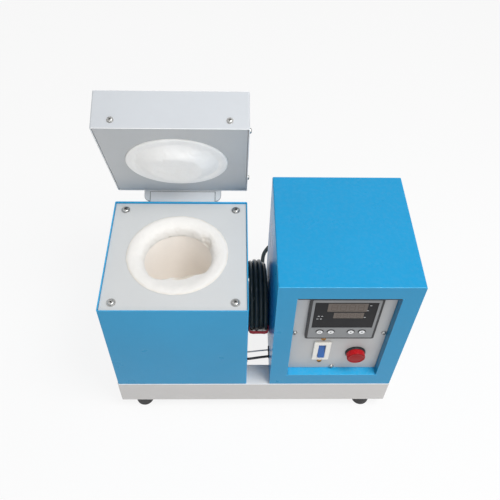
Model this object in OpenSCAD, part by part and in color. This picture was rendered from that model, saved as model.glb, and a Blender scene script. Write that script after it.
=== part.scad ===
// Bench-top crucible furnace: a hinged-lid furnace box and a control box on one folded steel base.
// Millimetres. X runs along the base, Y runs from the control panel to the back, Z is up from the floor.

/* [Base tray] */
// Height of the base tray
tray_h = 52; // [46:1:70]
// Sheet thickness of the base tray
tray_t = 1.5; // [1.2:0.1:2]
// Outside bend radius of the base tray
tray_r = 2; // [1.8:0.1:4]
// Overhang of the tray past the boxes, at both ends and at the back
tray_overhang = 1; // [0.5:0.5:4]
// Width of the return flange under the tray
tray_lip = 32; // [31:1:40]
// Depth of the front rail, ahead of the slot between the boxes
rail_d = 33; // [28:1:36]
// Length of the slot between the boxes, front to back
slot_l = 62; // [50:1:64]
// Reach of the slot under each box
slot_under = 8; // [2:1:12]

/* [Feet] */
// Height of a rubber foot
foot_h = 24; // [18:1:32]
// Diameter of a foot at its top
foot_d = 30; // [26:0.5:30]
// Diameter of a foot at the floor
foot_tip_d = 27; // [22:0.5:29]
// Distance from the tray's end to a foot's centre
foot_inset_x = 33; // [20:1:50]
// Distance from the tray's front or back to a foot's centre
foot_inset_y = 15.5; // [15.5:0.1:16]
// Diameter of a foot screw
foot_screw_d = 5; // [4:0.5:6]
// Depth of the pocket for a foot screw's head
foot_pocket_h = 9; // [7:0.5:12]

/* [Furnace box] */
// Width of the furnace box
furnace_w = 195; // [185:1:215]
// Height of the furnace box
furnace_h = 197; // [190:1:230]
// Sheet thickness of both boxes
shell_t = 1.5; // [1.2:0.1:1.8]
// Outside bend radius of both boxes and the lid
corner_r = 2; // [1.9:0.1:4]
// Drop from the blue rim to the top plate
plate_recess = 3; // [2:0.5:5]
// Thickness of the top plate
plate_t = 1.5; // [1.2:0.1:2]
// Width of the lip that carries the top plate
plate_lip = 22; // [20:0.5:23]
// Diameter of the mouth in the top plate and in the lid plate
mouth_d = 139; // [130:1:140]
// Distance from the side walls to a top plate screw
plate_screw_x = 17; // [14:0.5:19]
// Distance from the front and back walls to a top plate screw
plate_screw_y = 15; // [13:0.5:19]
// Diameter of a top plate screw
plate_screw_d = 5; // [4:0.5:5.5]
// Head diameter of a top plate screw
plate_screw_head_d = 10; // [8:0.5:10.5]
// Head height of a top plate screw
plate_screw_head_h = 2.8; // [2.2:0.1:3]
// Height of the wiring space under the insulation
wiring_h = 34.5; // [33:0.5:38]
// Height of the furnace floor's upturned flange
floor_flange_h = 14; // [10:1:15]

/* [Crucible and heater] */
// Outside diameter of the crucible at its rim
crucible_d = 106; // [104:0.5:110]
// Wall of the crucible
crucible_wall = 5.5; // [4.5:0.5:7]
// Height of the crucible
crucible_h = 110; // [95:1:115]
// Narrowing of the crucible's radius from rim to foot
crucible_taper = 7; // [3:0.5:10]
// Outside radius of the crucible's rounded foot
crucible_foot_r = 18; // [12:1:24]
// Diameter of the fibre collar's bore
collar_bore_d = 93.5; // [88:0.5:95]
// Depth from the top plate to the crucible's rim
collar_depth = 17; // [14:0.5:22]
// Height that the fibre collar stands above the top plate
collar_rise = 2; // [1:0.1:2.2]
// Gap between the crucible and the heating muffle
muffle_gap = 3; // [2:0.5:3]
// Wall of the heating muffle
muffle_wall = 12; // [9:0.5:12]
// Diameter of the heating wire
wire_d = 3; // [2:0.1:3]
// Turns of the heating wire
wire_turns = 8; // [5:1:9]
// Diameter of the thermocouple's sheath
probe_d = 6; // [4:0.5:8]

/* [Lid] */
// Thickness of the lid box
lid_h = 52.5; // [46:0.5:60]
// Sheet thickness of the lid
lid_t = 1.5; // [1.2:0.1:1.8]
// Gap between the lid and the rim when the lid is shut
lid_gap = 1.2; // [1.2:0.1:2]
// Angle of the open lid at rest, from shut
lid_open = 67.2; // [62:0.1:72]
// Recess of the lid plate in the lid's lower edge
lid_recess = 0.8; // [0.5:0.1:1.2]
// Gap between the lid plate and the lid's walls
lid_plate_gap = 0.5; // [0.3:0.1:0.6]
// Height of the lid plate's inner flange
lid_flange_h = 18; // [16:1:24]
// Distance from the lid's ends to a front screw
lid_screw_x = 24.5; // [20:0.5:30]
// Distance from the lid's front and back to a side screw
lid_screw_y = 25; // [20:0.5:30]
// Height of the lid screws above the lid's lower edge
lid_screw_z = 11.5; // [9:0.5:13]
// Bulge of the pad below the lid plate
pad_rise = 1.8; // [1.2:0.1:1.8]
// Drop of the pad's central plug below the lid plate
plug_rise = 12; // [8:0.5:13]
// Diameter of the pad's central plug
plug_d = 84; // [70:1:84]
// Thickness of the pad behind the lid plate
pad_back_h = 8.5; // [6:0.5:12]

/* [Hinge] */
// Distance of the hinge pin behind the furnace's back wall
hinge_back = 9; // [8.8:0.1:11]
// Distance of the hinge pin below the furnace's rim
hinge_drop = 24; // [23:0.5:28]
// Diameter of the hinge pin
pin_d = 6; // [5:0.5:7]
// Running clearance of the pin on its radius
pin_clear = 0.05; // [0.02:0.01:0.1]
// Length of the strap's rolled barrel
barrel_l = 98; // [80:1:110]
// Diameter of the strap's rolled barrel
barrel_d = 13; // [12:0.5:14]
// Thickness of the hinge strap
strap_t = 2; // [1.5:0.1:2.2]
// Set-back of the strap's lower leaf from the wall
strap_crank = 2; // [1.5:0.1:2.2]
// Radius of the strap's shoulders
shoulder_r = 9; // [7:0.5:10]
// Height of the strap on the lid's back wall
strap_h = 44; // [40:1:46]
// Thickness of the bracket's cheeks and wall plate
cheek_t = 3; // [2:0.5:4]
// Height of the bracket's wall plate
bracket_h = 30; // [26:1:40]
// Clearance between the open strap and its stop
stop_clear = 0.3; // [0.2:0.05:0.5]

/* [Control box] */
// Gap between the furnace and the control box
box_gap = 35; // [32:0.5:45]
// Width of the control box
box_w = 184; // [176:1:210]
// Depth of both boxes
box_d = 195; // [185:1:215]
// Height of the control box
box_h = 248; // [240:1:280]
// Width of the front frame at its sides
frame_side = 25.4; // [20:0.1:28]
// Width of the front frame at its top
frame_top = 24.2; // [20:0.1:28]
// Width of the front frame at its bottom
frame_sill = 28; // [22:0.5:32]
// Depth of the recess in front of the panel
panel_recess = 12.7; // [11:0.1:15]
// Thickness of the control panel
panel_t = 2; // [1.5:0.1:3]
// Width of the lip that carries the control panel, and of the lip at the back
panel_lip = 10; // [9:0.5:10]
// Distance from the panel's edge to a panel screw
panel_screw_in = 4.6; // [4.2:0.1:4.8]
// Width of a vent slot in the back cover
vent_w = 4; // [3:0.5:5]
// Length of a vent slot in the back cover
vent_l = 36; // [25:1:45]
// Pitch of the vent slots
vent_pitch = 11; // [9:0.5:12]
// Number of vent slots
vent_count = 9; // [5:2:11]

/* [Temperature controller] */
// Side of the controller's square bezel
bezel_s = 96; // [94:0.5:98]
// Thickness of the bezel in front of the panel
bezel_t = 5; // [4.5:0.5:7]
// Gap between the bezel and the top of the panel's opening
bezel_gap = 9.8; // [9:0.1:11]
// Side of the controller's case behind the panel
case_s = 91; // [88:0.5:92]
// Length of the controller's case
case_l = 75; // [60:1:100]
// Width of the dark window
window_w = 82; // [74:1:86]
// Height of the dark window
window_h = 58.5; // [54:0.5:60]
// Height of the window's lower edge above the bezel's lower edge
window_z = 28.7; // [27:0.1:30]
// Thickness of the dark window
window_t = 2; // [1.5:0.1:3]
// Width of the upper display
upper_w = 52; // [40:1:60]
// Height of the upper display
upper_h = 18.4; // [14:0.2:19]
// Width of the lower display
lower_w = 40; // [30:0.5:50]
// Height of the lower display
lower_h = 13; // [9:1:14]
// Shift of the upper display to the right
upper_x = 2; // [0:0.5:4]
// Shift of the lower display to the right
lower_x = 5.5; // [0:0.5:6]
// Diameter of a controller key
key_d = 10; // [8:0.5:11]
// Clearance around a key
key_clear = 0.3; // [0.3:0.05:0.5]
// Height of the keys above the bezel's lower edge
key_z = 18.6; // [14:0.1:19]
// Distance of the inner keys from the bezel's middle
key_x = 13.7; // [12:0.1:15]
// Distance from an inner key to its outer neighbour
key_pitch = 15.3; // [13:0.1:17]
// Travel of a key
key_travel = 0.5; // [0.3:0.1:0.8]
// Height of a key above the bezel
key_proud = 1.2; // [1:0.1:2]

/* [Switch and lamp] */
// Distance of the switch left of the panel's middle
switch_x = 20; // [17:0.5:24]
// Share of the space under the controller between the switch's screws
switch_share = 0.67; // [0.6:0.01:0.68]
// Gap between the bezel and the upper switch screw
switch_gap = 3.8; // [3:0.1:5]
// Width of the switch plate
switch_w = 24.3; // [20:0.1:26]
// Thickness of the switch plate
switch_t = 3.7; // [3:0.1:4.5]
// Gap between the switch plate and its screws
switch_screw_gap = 3.3; // [1:0.1:4]
// Width of the rocker
rocker_w = 9.5; // [7:0.5:10]
// Half length of the rocker's face, as a share of the plate
rocker_share = 0.33; // [0.26:0.01:0.34]
// Tilt of the rocker to each side
rocker_tilt = 12; // [8:0.5:12]
// Diameter of the rocker's trunnions
trunnion_d = 3; // [2:0.2:3.4]
// Depth of the rocker's pivot behind the panel's face
pivot_depth = 3; // [2.6:0.1:4]
// Distance of the lamp right of the panel's middle
lamp_x = 30; // [26:0.5:36]
// Height of the lamp's centre in the space under the controller, as a share
lamp_share = 0.51; // [0.45:0.01:0.58]
// Diameter of the lamp's ring
lamp_d = 29.3; // [27:0.1:31]
// Reach of the lamp in front of the panel
lamp_reach = 11.5; // [10:0.5:14]
// Diameter of the lamp's hole in the panel
lamp_hole_d = 22; // [20:0.5:24]
// Length of the lamp's body behind the panel
lamp_body_l = 38; // [28:1:48]

/* [Cord and leads] */
// Diameter of the mains cord
cord_d = 7; // [6:0.1:8]
// Outside radius of the cord's coil
coil_r = 58; // [54:0.5:60]
// Width of the cord's coil along the gap
coil_w = 32; // [26:0.5:32]
// Thickness of the coil's wall
coil_wall = 14; // [10:0.5:16]
// Distance of the coil's centre from the front
coil_y = 124.5; // [118:0.5:128]
// Distance of the cord gland from the control box's left wall
gland_x = 50; // [46:0.5:56]
// Height of the cord gland above the base tray
gland_z = 40; // [36:1:50]
// Length of the gland's tapered strain relief
relief_l = 30; // [20:1:34]
// Diameter of the dark heater lead
heater_lead_d = 3.8; // [3:0.1:4.4]
// Diameter of the pale thermocouple lead
probe_lead_d = 2.2; // [1.6:0.1:3]
// Height of the leads above the base tray
lead_z = 20; // [19:0.5:22]

/* [Fasteners] */
// Diameter of the sheet-metal screws
screw_d = 4; // [3:0.2:4.4]
// Head diameter of the sheet-metal screws
screw_head_d = 7.4; // [6:0.1:8]
// Head height of the sheet-metal screws
screw_head_h = 2.4; // [1.6:0.1:3]
// Diameter of the bolts that hold the boxes down
bolt_d = 6; // [5:0.5:6.5]
// Size across flats of the bolts and the hinge nut
bolt_af = 10; // [9.5:0.5:11]
// Inset of the bolts from a box's side walls
bolt_in_x = 45; // [40:1:50]
// Inset of the bolts from a box's front and back walls
bolt_in_y = 60; // [56:1:66]
// Clearance between nested sheets and around screws
fit = 0.2; // [0.1:0.05:0.3]

/* [Hidden] */
$fn = 64;
overlap = 1;

// Paint and material colours
blue = [0.10, 0.50, 0.80];
pale_grey = [0.78, 0.80, 0.84];
fibre_white = [0.95, 0.94, 0.91];
steel = [0.72, 0.73, 0.75];
black = [0.08, 0.09, 0.10];
cream = [0.93, 0.86, 0.78];

// Main places, from the furnace's left wall, the front and the floor
deck_z = foot_h + tray_h;
rim_z = deck_z + furnace_h;
box_x = furnace_w + box_gap;
tray_w = furnace_w + box_gap + box_w + 2 * tray_overhang;
furnace_d = box_d;
tray_d = box_d + tray_overhang;
lid_z = rim_z + lid_gap;
hinge_y = furnace_d + hinge_back;
hinge_z = rim_z - hinge_drop;
lid_back_y = hinge_y - hinge_back * cos(lid_open) + (hinge_drop + lid_gap + lid_h) * sin(lid_open);
bench_shift = [tray_overhang - tray_w / 2, -lid_back_y / 2, 0];

// Inside of the furnace, from the top down
mid_x = furnace_w / 2;
mid_y = furnace_d / 2;
plate_z = rim_z - plate_recess;
lip_z = plate_z - plate_t - shell_t;
crucible_rim_z = plate_z - collar_depth;
hearth_z = crucible_rim_z - crucible_h;
shelf_z = deck_z + shell_t + wiring_h;
inner_w = furnace_w - 2 * (shell_t + fit);
inner_d = furnace_d - 2 * (shell_t + fit);
shelf_w = inner_w - 2 * (shell_t + fit);
shelf_d = inner_d - 2 * (shell_t + fit);
muffle_r = crucible_d / 2 + muffle_gap + muffle_wall;
wire_gap = 0.8;
wire_path_r = muffle_r + wire_gap + wire_d / 2;
wire_clear = 0.9;
collar_ledge = 2;
neck_r = mouth_d / 2 - fit;
collar_r = max(neck_r + collar_ledge, wire_path_r + wire_d / 2);
chamber_r = collar_r + wire_clear;
wire_margin = 10;
wire_steps = 24;
wire_sides = 6;
probe_head_r = 8;
probe_head_h = 12;
probe_gap = 0.3;
terminals = [28, 30, 28];
terminals_in = 9;
terminals_x = furnace_w - terminals_in - terminals[0];
terminals_y = 24;

// Screw places
screw_hole_r = screw_d / 2 + fit;
plate_hole_r = plate_screw_d / 2 + fit;
plate_screw_l = 8;
blanket_h = plate_z - plate_screw_l - fit - hearth_z;
lid_screw_l = 5;
lid_blanket_in = 7;
pad_ledge = 8;
back_screw_l = 6;
foot_xs = [foot_inset_x - tray_overhang, tray_w - tray_overhang - foot_inset_x];
foot_ys = [foot_inset_y, tray_d - foot_inset_y];
bolt_xs = [bolt_in_x, furnace_w - bolt_in_x, box_x + bolt_in_x, box_x + box_w - bolt_in_x];
bolt_ys = [bolt_in_y, box_d - bolt_in_y];

// Hinge, measured from the pin with the lid shut: first number back, second number up
strap_w = barrel_l + 2 * shoulder_r;
shoulder_z = 9;
leaf_front = strap_crank - hinge_back;
leaf_back = leaf_front + strap_t;
leaf_top = hinge_drop + lid_gap + 6;
strap_z = hinge_drop + lid_gap + 3;
strap_rib = 1;
strap_screw_x = 44;
strap_screw_in = 9.5;
strap_screw_z = [strap_z + strap_screw_in, strap_z + strap_h - strap_screw_in];
cheek_gap = 0.5;
cheek_x = barrel_l / 2 + cheek_gap;
boss_r = 8;
plate_top = -11;
bracket_screw_x = 34;
bracket_screw_in = 8;
bracket_screw_z = [plate_top - bracket_screw_in, plate_top - bracket_h + bracket_screw_in];
stop_face = leaf_back + stop_clear;
stop_t = 2.5;
stop_z = [12, 23.5];
pin_head_d = 11;
pin_head_h = 3;
pin_tail = 8;
nut_h = 5;

// Control box
open_w = box_w - 2 * frame_side;
open_h = box_h - frame_top - frame_sill;
open_z = deck_z + frame_sill;
panel_x = box_x + box_w / 2;
panel_mid_z = open_z + open_h / 2;
panel_back = panel_recess + panel_t;
back_w = box_w - 2 * (shell_t + fit);
back_h = box_h - 2 * (shell_t + fit);
back_y = box_d - shell_t;
vent_z = deck_z + box_h * 0.72;
relief_r = 1.6;
back_screws_at = [for (sx = [-1, 1], sz = [-1, 0, 1])
                  [sx * (back_w / 2 - 6), sz * (back_h / 2 - 6)]];
panel_screws_at = [[-(open_w / 2 - panel_screw_in), 0], [open_w / 2 - panel_screw_in, 0],
                   [0, -(open_h / 2 - panel_screw_in)], [0, open_h / 2 - panel_screw_in]];
bezel_z = open_z + open_h - bezel_gap - bezel_s;
controller_mid_z = bezel_z + bezel_s / 2;
under_h = bezel_z - open_z;
bezel_r = 3;
bezel_skin = 2;
display_t = 1.6;
display_in = 2.8;
display_gap = 2.5;
upper_z = window_z + window_h - display_in - upper_h;
lower_z = upper_z - display_gap - lower_h;
key_places = [-key_x - key_pitch, -key_x, key_x, key_x + key_pitch];
key_flange = 1;
key_flange_t = 1;
key_pocket = key_flange + 0.8;
switch_mid_x = panel_x - switch_x;
switch_screw_pitch = under_h * switch_share;
switch_mid_z = bezel_z - switch_gap - screw_head_d / 2 - switch_screw_pitch / 2;
switch_h = switch_screw_pitch - screw_head_d - 2 * switch_screw_gap;
rocker_half = switch_h * rocker_share;
rocker_gap = 0.4;
rocker_slot_half = rocker_half + 1.4;
body_wall = 3.2;
switch_body_w = rocker_w + 2 * rocker_gap + 2 * body_wall;
switch_body_h = 2 * rocker_slot_half + 2 * body_wall;
switch_body_l = 24;
yoke_t = 1.5;
yoke_end = 6;
rocker_pocket = 9;
rocker_rise = 2.6;
rocker_dip = 2;
trunnion_l = rocker_w + 2 * rocker_gap + 3.2;
lamp_mid_x = panel_x + lamp_x;
lamp_mid_z = open_z + under_h * lamp_share;
lamp_ring_h = 3.5;
lamp_lens_r = lamp_d / 2 - 1.4;
lamp_nut_r = 14;
relay = [46, 60, 24];
sink = [60, 74, 30];
sink_fins = 7;
strip = [22, 42, 25];

// Leads across the gap
lead_room = 11;
lead_h = deck_z + lead_z;
lead_hole_r = 3.6;
grommet_r = 5;
grommet_t = 1.5;
grommet_neck = shell_t + grommet_t;
heater_lead_y = [31.5, 38.5];
probe_lead_y = [44, 49.5];
lead_from = terminals_x + terminals[0];
lead_to = box_x + lead_room;
lead_sag = 1.5;
strip_y = 23;

// Cord
coil_mid = [furnace_w + box_gap / 2, coil_y, deck_z + coil_r + 0.3];
gland_mid = [box_x + gland_x, box_d, deck_z + gland_z];
gland_nut_t = 6;
gland_r = 9;
gland_af = 24;
gland_inner_af = 22;
gland_inner_t = 5;
cord_exit_y = box_d + gland_nut_t + relief_l;
tie_angle = 206;
tie_w = 7;
tie_t = 1;
cord_sides = 10;
lead_sides = 8;
route_ref = [1, 0.8, 0.6];
lead_in_route = [[0, 0, 0], [0, 12, -1.2], [-3.6, 25.5, -4.5], [-13.5, 35.4, -11], [-27, 39, -20],
                 [-40.5, 35.4, -29], [-50.4, 25.5, -35.5], [-54, 12, -38.7], [-54, -3, -39],
                 [-54, -18, -37.8], [-54, -33, -36.4], [-54, -50, -36.2],
                 [-54, -67, -36.2], [-54, -84, -36.2]];
tail_route = [[-80, -52, 18.3], [-80, -50.8, 4], [-80.5, -46.5, -10], [-81.5, -39, -22], [-82.7, -30, -32.5],
              [-84.5, -21.5, -45], [-87, -15.5, -59], [-90.5, -11.5, -73.5], [-95.5, -9, -87],
              [-104, -6.5, -97.5], [-116, -4.5, -103], [-130, -3, -104], [-143, -3, -104]];
plug_at = [-143, -3, -104];
plug_relief_l = 26;
plug_body = [36, 34, 23];
plug_relief_r = 8;
plug_round = 6;
plug_pin = [17, 6.4, 1.6];
plug_pin_y = 8;
earth_pin_z = 4;
live_pin_z = -5;
live_pin_slant = 60;

// Helpers
function unit(v) = v / norm(v);
function tangent(route, i) =
    unit(route[min(i + 1, len(route) - 1)] - route[max(i - 1, 0)]);
function ring(c, t, r, sides) =
    let (u = unit(cross(t, route_ref)), v = cross(t, u))
    [for (k = [0:sides - 1]) c + r * (cos(360 * k / sides) * u + sin(360 * k / sides) * v)];
function arc(c, r, from, to, steps) =
    [for (i = [0:steps]) let (a = from + (to - from) * i / steps) c + r * [cos(a), sin(a)]];
function ease(s) = s * s * (3 - 2 * s);

module tube(route, r, sides) {
    last = len(route) - 1;
    points = [for (i = [0:last]) each ring(route[i], tangent(route, i), r, sides)];
    walls = [for (i = [0:last - 1], k = [0:sides - 1])
             let (a = i * sides + k, b = i * sides + (k + 1) % sides)
             each [[a, a + sides, b + sides], [a, b + sides, b]]];
    start_cap = [for (k = [0:sides - 1]) k];
    end_cap = [for (k = [sides - 1:-1:0]) last * sides + k];
    polyhedron(points, concat(walls, [start_cap, end_cap]));
}

module rounded(w, d, r) {
    translate([r, 0]) square([w - 2 * r, d]);
    translate([0, r]) square([w, d - 2 * r]);
    for (x = [r, w - r], y = [r, d - r])
        translate([x, y]) circle(r);
}

module frame(w, d, border) {
    difference() {
        square([w, d], center = true);
        square([w - 2 * border, d - 2 * border], center = true);
    }
}

// Plate in the XZ plane, from y to y + t
module upright(y, t) {
    translate([0, y + t, 0]) rotate([90, 0, 0]) linear_extrude(t) children();
}

// Plate in the YZ plane, from x to x + t
module sideways(x, t) {
    translate([x, 0, 0]) rotate([90, 0, 90]) linear_extrude(t) children();
}

module screw(shank_d, shank_l, head_d, head_h) {
    r = head_d / 2;
    rotate_extrude()
        polygon([[0, -shank_l], [shank_d / 2, -shank_l], [shank_d / 2, 0], [r, 0], [r, head_h * 0.4],
                 [r * 0.88, head_h * 0.75], [r * 0.6, head_h * 0.95], [0, head_h]]);
}

module sheet_screw(length) {
    screw(screw_d, length, screw_head_d, screw_head_h);
}

module hexagon(af, h) {
    cylinder(d = af / cos(30), h = h, $fn = 6);
}

module on_bench() {
    translate(bench_shift) children();
}

module at_hinge() {
    translate([mid_x, hinge_y, hinge_z]) children();
}

module lid_pose() {
    on_bench() at_hinge() rotate([-lid_open, 0, 0]) translate([-mid_x, -hinge_y, -hinge_z]) children();
}

module at_feet() {
    for (x = foot_xs, y = foot_ys)
        translate([x, y, 0]) children();
}

module at_bolts() {
    for (x = bolt_xs, y = bolt_ys)
        translate([x, y, deck_z]) children();
}

module at_furnace_bolts() {
    for (x = [bolt_xs[0], bolt_xs[1]], y = bolt_ys)
        translate([x, y, deck_z]) children();
}

module at_plate_screws() {
    for (x = [plate_screw_x, furnace_w - plate_screw_x], y = [plate_screw_y, furnace_d - plate_screw_y])
        translate([x, y, plate_z]) children();
}

// Axes of the lid screws, pointing out of the lid
module at_lid_screws() {
    z = lid_z + lid_screw_z;
    for (x = [lid_screw_x, furnace_w - lid_screw_x])
        translate([x, 0, z]) rotate([90, 0, 0]) children();
    for (y = [lid_screw_y, furnace_d - lid_screw_y]) {
        translate([0, y, z]) rotate([0, -90, 0]) children();
        translate([furnace_w, y, z]) rotate([0, 90, 0]) children();
    }
}

module at_strap_screws(y) {
    at_hinge()
        for (x = [-strap_screw_x, strap_screw_x], z = strap_screw_z)
            translate([x, y, z]) rotate([-90, 0, 0]) children();
}

module at_bracket_screws(y) {
    at_hinge()
        for (x = [-bracket_screw_x, bracket_screw_x], z = bracket_screw_z)
            translate([x, y, z]) rotate([-90, 0, 0]) children();
}

module at_panel_screws(y) {
    for (p = panel_screws_at)
        translate([panel_x + p[0], y, panel_mid_z + p[1]]) rotate([90, 0, 0]) children();
}

module at_back_screws(y) {
    for (p = back_screws_at)
        translate([panel_x + p[0], y, deck_z + box_h / 2 + p[1]]) rotate([-90, 0, 0]) children();
}

module at_switch_screws(y) {
    for (s = [-1, 1])
        translate([switch_mid_x, y, switch_mid_z + s * switch_screw_pitch / 2]) rotate([90, 0, 0]) children();
}

// Four places where a lead goes through a wall, pointing along X
module at_lead_holes() {
    for (y = [heater_lead_y[0], probe_lead_y[0]])
        translate([furnace_w, y, lead_h]) rotate([0, 90, 0]) children();
    for (y = [heater_lead_y[1], probe_lead_y[1]])
        translate([box_x, y, lead_h]) rotate([0, -90, 0]) children();
}

// Base
module base_tray() {
    color(pale_grey) on_bench() difference() {
        translate([-tray_overhang, 0, foot_h]) linear_extrude(tray_h) rounded(tray_w, tray_d, tray_r);
        translate([tray_t - tray_overhang, tray_t, foot_h + tray_t])
            cube([tray_w - 2 * tray_t, tray_d - 2 * tray_t, tray_h - 2 * tray_t]);
        translate([tray_lip - tray_overhang, tray_lip, foot_h - overlap])
            cube([tray_w - 2 * tray_lip, tray_d - 2 * tray_lip, tray_t + 2 * overlap]);
        translate([furnace_w - slot_under, rail_d, deck_z - tray_t - overlap])
            cube([box_gap + 2 * slot_under, slot_l, tray_t + 2 * overlap]);
        at_feet() translate([0, 0, foot_h - overlap])
            cylinder(d = foot_screw_d + 2 * fit, h = tray_t + 2 * overlap);
        at_bolts() translate([0, 0, -tray_t - overlap])
            cylinder(d = bolt_d + 2 * fit, h = tray_t + 2 * overlap);
    }
}

module rubber_feet() {
    pocket_r = foot_screw_d / 2 + 3.5;
    hole_r = foot_screw_d / 2 + fit;
    color(black) on_bench() at_feet() rotate_extrude()
        polygon([[pocket_r, 0], [foot_tip_d / 2 - 1, 0], [foot_tip_d / 2, 1], [foot_d / 2, foot_h],
                 [hole_r, foot_h], [hole_r, foot_pocket_h], [pocket_r, foot_pocket_h]]);
}

module foot_screws() {
    nut_t = 4;
    nut_af = 8;
    tip = 1.5;
    head_d = 9.4;
    head_h = 3.4;
    color(steel) on_bench() at_feet() {
        translate([0, 0, foot_pocket_h]) mirror([0, 0, 1])
            screw(foot_screw_d, foot_h + tray_t + nut_t + tip - foot_pocket_h, head_d, head_h);
        translate([0, 0, foot_h + tray_t]) hexagon(nut_af, nut_t);
    }
}

module tray_bolts() {
    head_h = 4;
    tip = 1.5;
    color(steel) on_bench() at_bolts() {
        translate([0, 0, -tray_t - head_h]) hexagon(bolt_af, head_h);
        translate([0, 0, -tray_t]) cylinder(d = bolt_d, h = tray_t + shell_t + nut_h + tip);
        translate([0, 0, shell_t]) hexagon(bolt_af, nut_h);
    }
}

// Furnace
module furnace_shell() {
    color(blue) on_bench() difference() {
        union() {
            translate([0, 0, deck_z]) linear_extrude(furnace_h) difference() {
                rounded(furnace_w, furnace_d, corner_r);
                translate([shell_t, shell_t])
                    rounded(furnace_w - 2 * shell_t, furnace_d - 2 * shell_t, corner_r - shell_t);
            }
            translate([mid_x, mid_y, lip_z]) linear_extrude(shell_t) difference() {
                square([furnace_w - shell_t, furnace_d - shell_t], center = true);
                square([furnace_w - 2 * plate_lip, furnace_d - 2 * plate_lip], center = true);
            }
        }
        at_plate_screws() translate([0, 0, lip_z - plate_z - overlap])
            cylinder(r = plate_hole_r, h = shell_t + 2 * overlap);
        at_lead_holes() translate([0, 0, -shell_t - overlap])
            cylinder(r = lead_hole_r, h = shell_t + 2 * overlap);
        at_bracket_screws(-hinge_back - shell_t - overlap)
            cylinder(r = screw_hole_r, h = shell_t + 2 * overlap);
    }
}

module furnace_floor() {
    color(steel) on_bench() difference() {
        translate([mid_x - inner_w / 2, mid_y - inner_d / 2, deck_z])
            cube([inner_w, inner_d, floor_flange_h]);
        translate([mid_x - inner_w / 2 + shell_t, mid_y - inner_d / 2 + shell_t, deck_z + shell_t])
            cube([inner_w - 2 * shell_t, inner_d - 2 * shell_t, floor_flange_h]);
        at_furnace_bolts() translate([0, 0, -overlap])
            cylinder(d = bolt_d + 2 * fit, h = shell_t + 2 * overlap);
    }
}

module insulation_shelf() {
    foot_z = deck_z + shell_t;
    color(steel) on_bench() difference() {
        translate([mid_x - shelf_w / 2, mid_y - shelf_d / 2, foot_z]) cube([shelf_w, shelf_d, wiring_h]);
        translate([mid_x - shelf_w / 2 - overlap, mid_y - shelf_d / 2 + shell_t, foot_z - overlap])
            cube([shelf_w + 2 * overlap, shelf_d - 2 * shell_t, wiring_h - shell_t + overlap]);
        translate([mid_x, mid_y, foot_z]) cylinder(d = probe_d + 2 * fit, h = wiring_h + overlap);
    }
}

module hearth_board() {
    color(fibre_white) on_bench() difference() {
        translate([mid_x - inner_w / 2, mid_y - inner_d / 2, shelf_z])
            cube([inner_w, inner_d, hearth_z - shelf_z]);
        translate([mid_x, mid_y, shelf_z - overlap])
            cylinder(d = probe_d + 2 * fit, h = hearth_z - shelf_z + 2 * overlap);
    }
}

module heating_muffle() {
    color(cream) on_bench() translate([mid_x, mid_y, hearth_z]) difference() {
        cylinder(r = muffle_r, h = crucible_h);
        translate([0, 0, -overlap]) cylinder(r = muffle_r - muffle_wall, h = crucible_h + 2 * overlap);
    }
}

module heating_coil() {
    height = crucible_h - 2 * wire_margin;
    count = wire_turns * wire_steps;
    route = [for (i = [0:count]) let (a = 360 * i / wire_steps)
             [wire_path_r * cos(a), wire_path_r * sin(a), wire_margin + height * i / count]];
    color(steel) on_bench() translate([mid_x, mid_y, hearth_z]) tube(route, wire_d / 2, wire_sides);
}

module fibre_blanket() {
    color(fibre_white) on_bench() difference() {
        translate([mid_x - inner_w / 2, mid_y - inner_d / 2, hearth_z]) cube([inner_w, inner_d, blanket_h]);
        translate([mid_x, mid_y, hearth_z - overlap]) cylinder(r = chamber_r, h = blanket_h + 2 * overlap);
    }
}

// Soft ring round the mouth: a wide foot under the plate and a rounded crest above it
module fibre_collar() {
    bore_r = collar_bore_d / 2;
    crest = collar_depth + collar_rise;
    seat = collar_depth - plate_t;
    crest_mid = (bore_r + neck_r) / 2;
    crest_half = (neck_r - bore_r) / 2;
    crest_drop = collar_rise + 1;
    top = [for (a = [0:15:180])
           [crest_mid + crest_half * cos(a), crest - crest_drop + crest_drop * sin(a)]];
    color(fibre_white) on_bench() translate([mid_x, mid_y, crucible_rim_z]) rotate_extrude()
        polygon(concat([[bore_r, 0], [collar_r, 0], [collar_r, seat], [neck_r, seat]], top));
}

module crucible() {
    rim_r = crucible_d / 2;
    foot_r = rim_r - crucible_taper;
    turn = [foot_r - crucible_foot_r, crucible_foot_r];
    outer = arc(turn, crucible_foot_r, -90, 0, 8);
    inner = arc(turn, crucible_foot_r - crucible_wall, 0, -90, 8);
    rim_round = 1.5;
    rim_inner = rim_r - crucible_wall;
    rim = [[rim_r, crucible_h - rim_round], [rim_r - rim_round, crucible_h],
           [rim_inner + rim_round, crucible_h], [rim_inner, crucible_h - rim_round]];
    color(cream) on_bench() translate([mid_x, mid_y, hearth_z]) rotate_extrude()
        polygon(concat([[0, 0]], outer, rim, inner, [[0, crucible_wall]]));
}

module top_plate() {
    color(pale_grey) on_bench() difference() {
        translate([mid_x - inner_w / 2, mid_y - inner_d / 2, plate_z - plate_t])
            cube([inner_w, inner_d, plate_t]);
        translate([mid_x, mid_y, plate_z - plate_t - overlap])
            cylinder(d = mouth_d, h = plate_t + 2 * overlap);
        at_plate_screws() translate([0, 0, -plate_t - overlap])
            cylinder(r = plate_hole_r, h = plate_t + 2 * overlap);
    }
}

module top_plate_screws() {
    color(steel) on_bench() at_plate_screws()
        screw(plate_screw_d, plate_screw_l, plate_screw_head_d, plate_screw_head_h);
}

module thermocouple() {
    head_z = shelf_z - shell_t - probe_head_h;
    color(steel) on_bench() translate([mid_x, mid_y, head_z]) {
        cylinder(r = probe_head_r, h = probe_head_h);
        cylinder(d = probe_d, h = hearth_z - head_z - probe_gap);
    }
}

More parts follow.
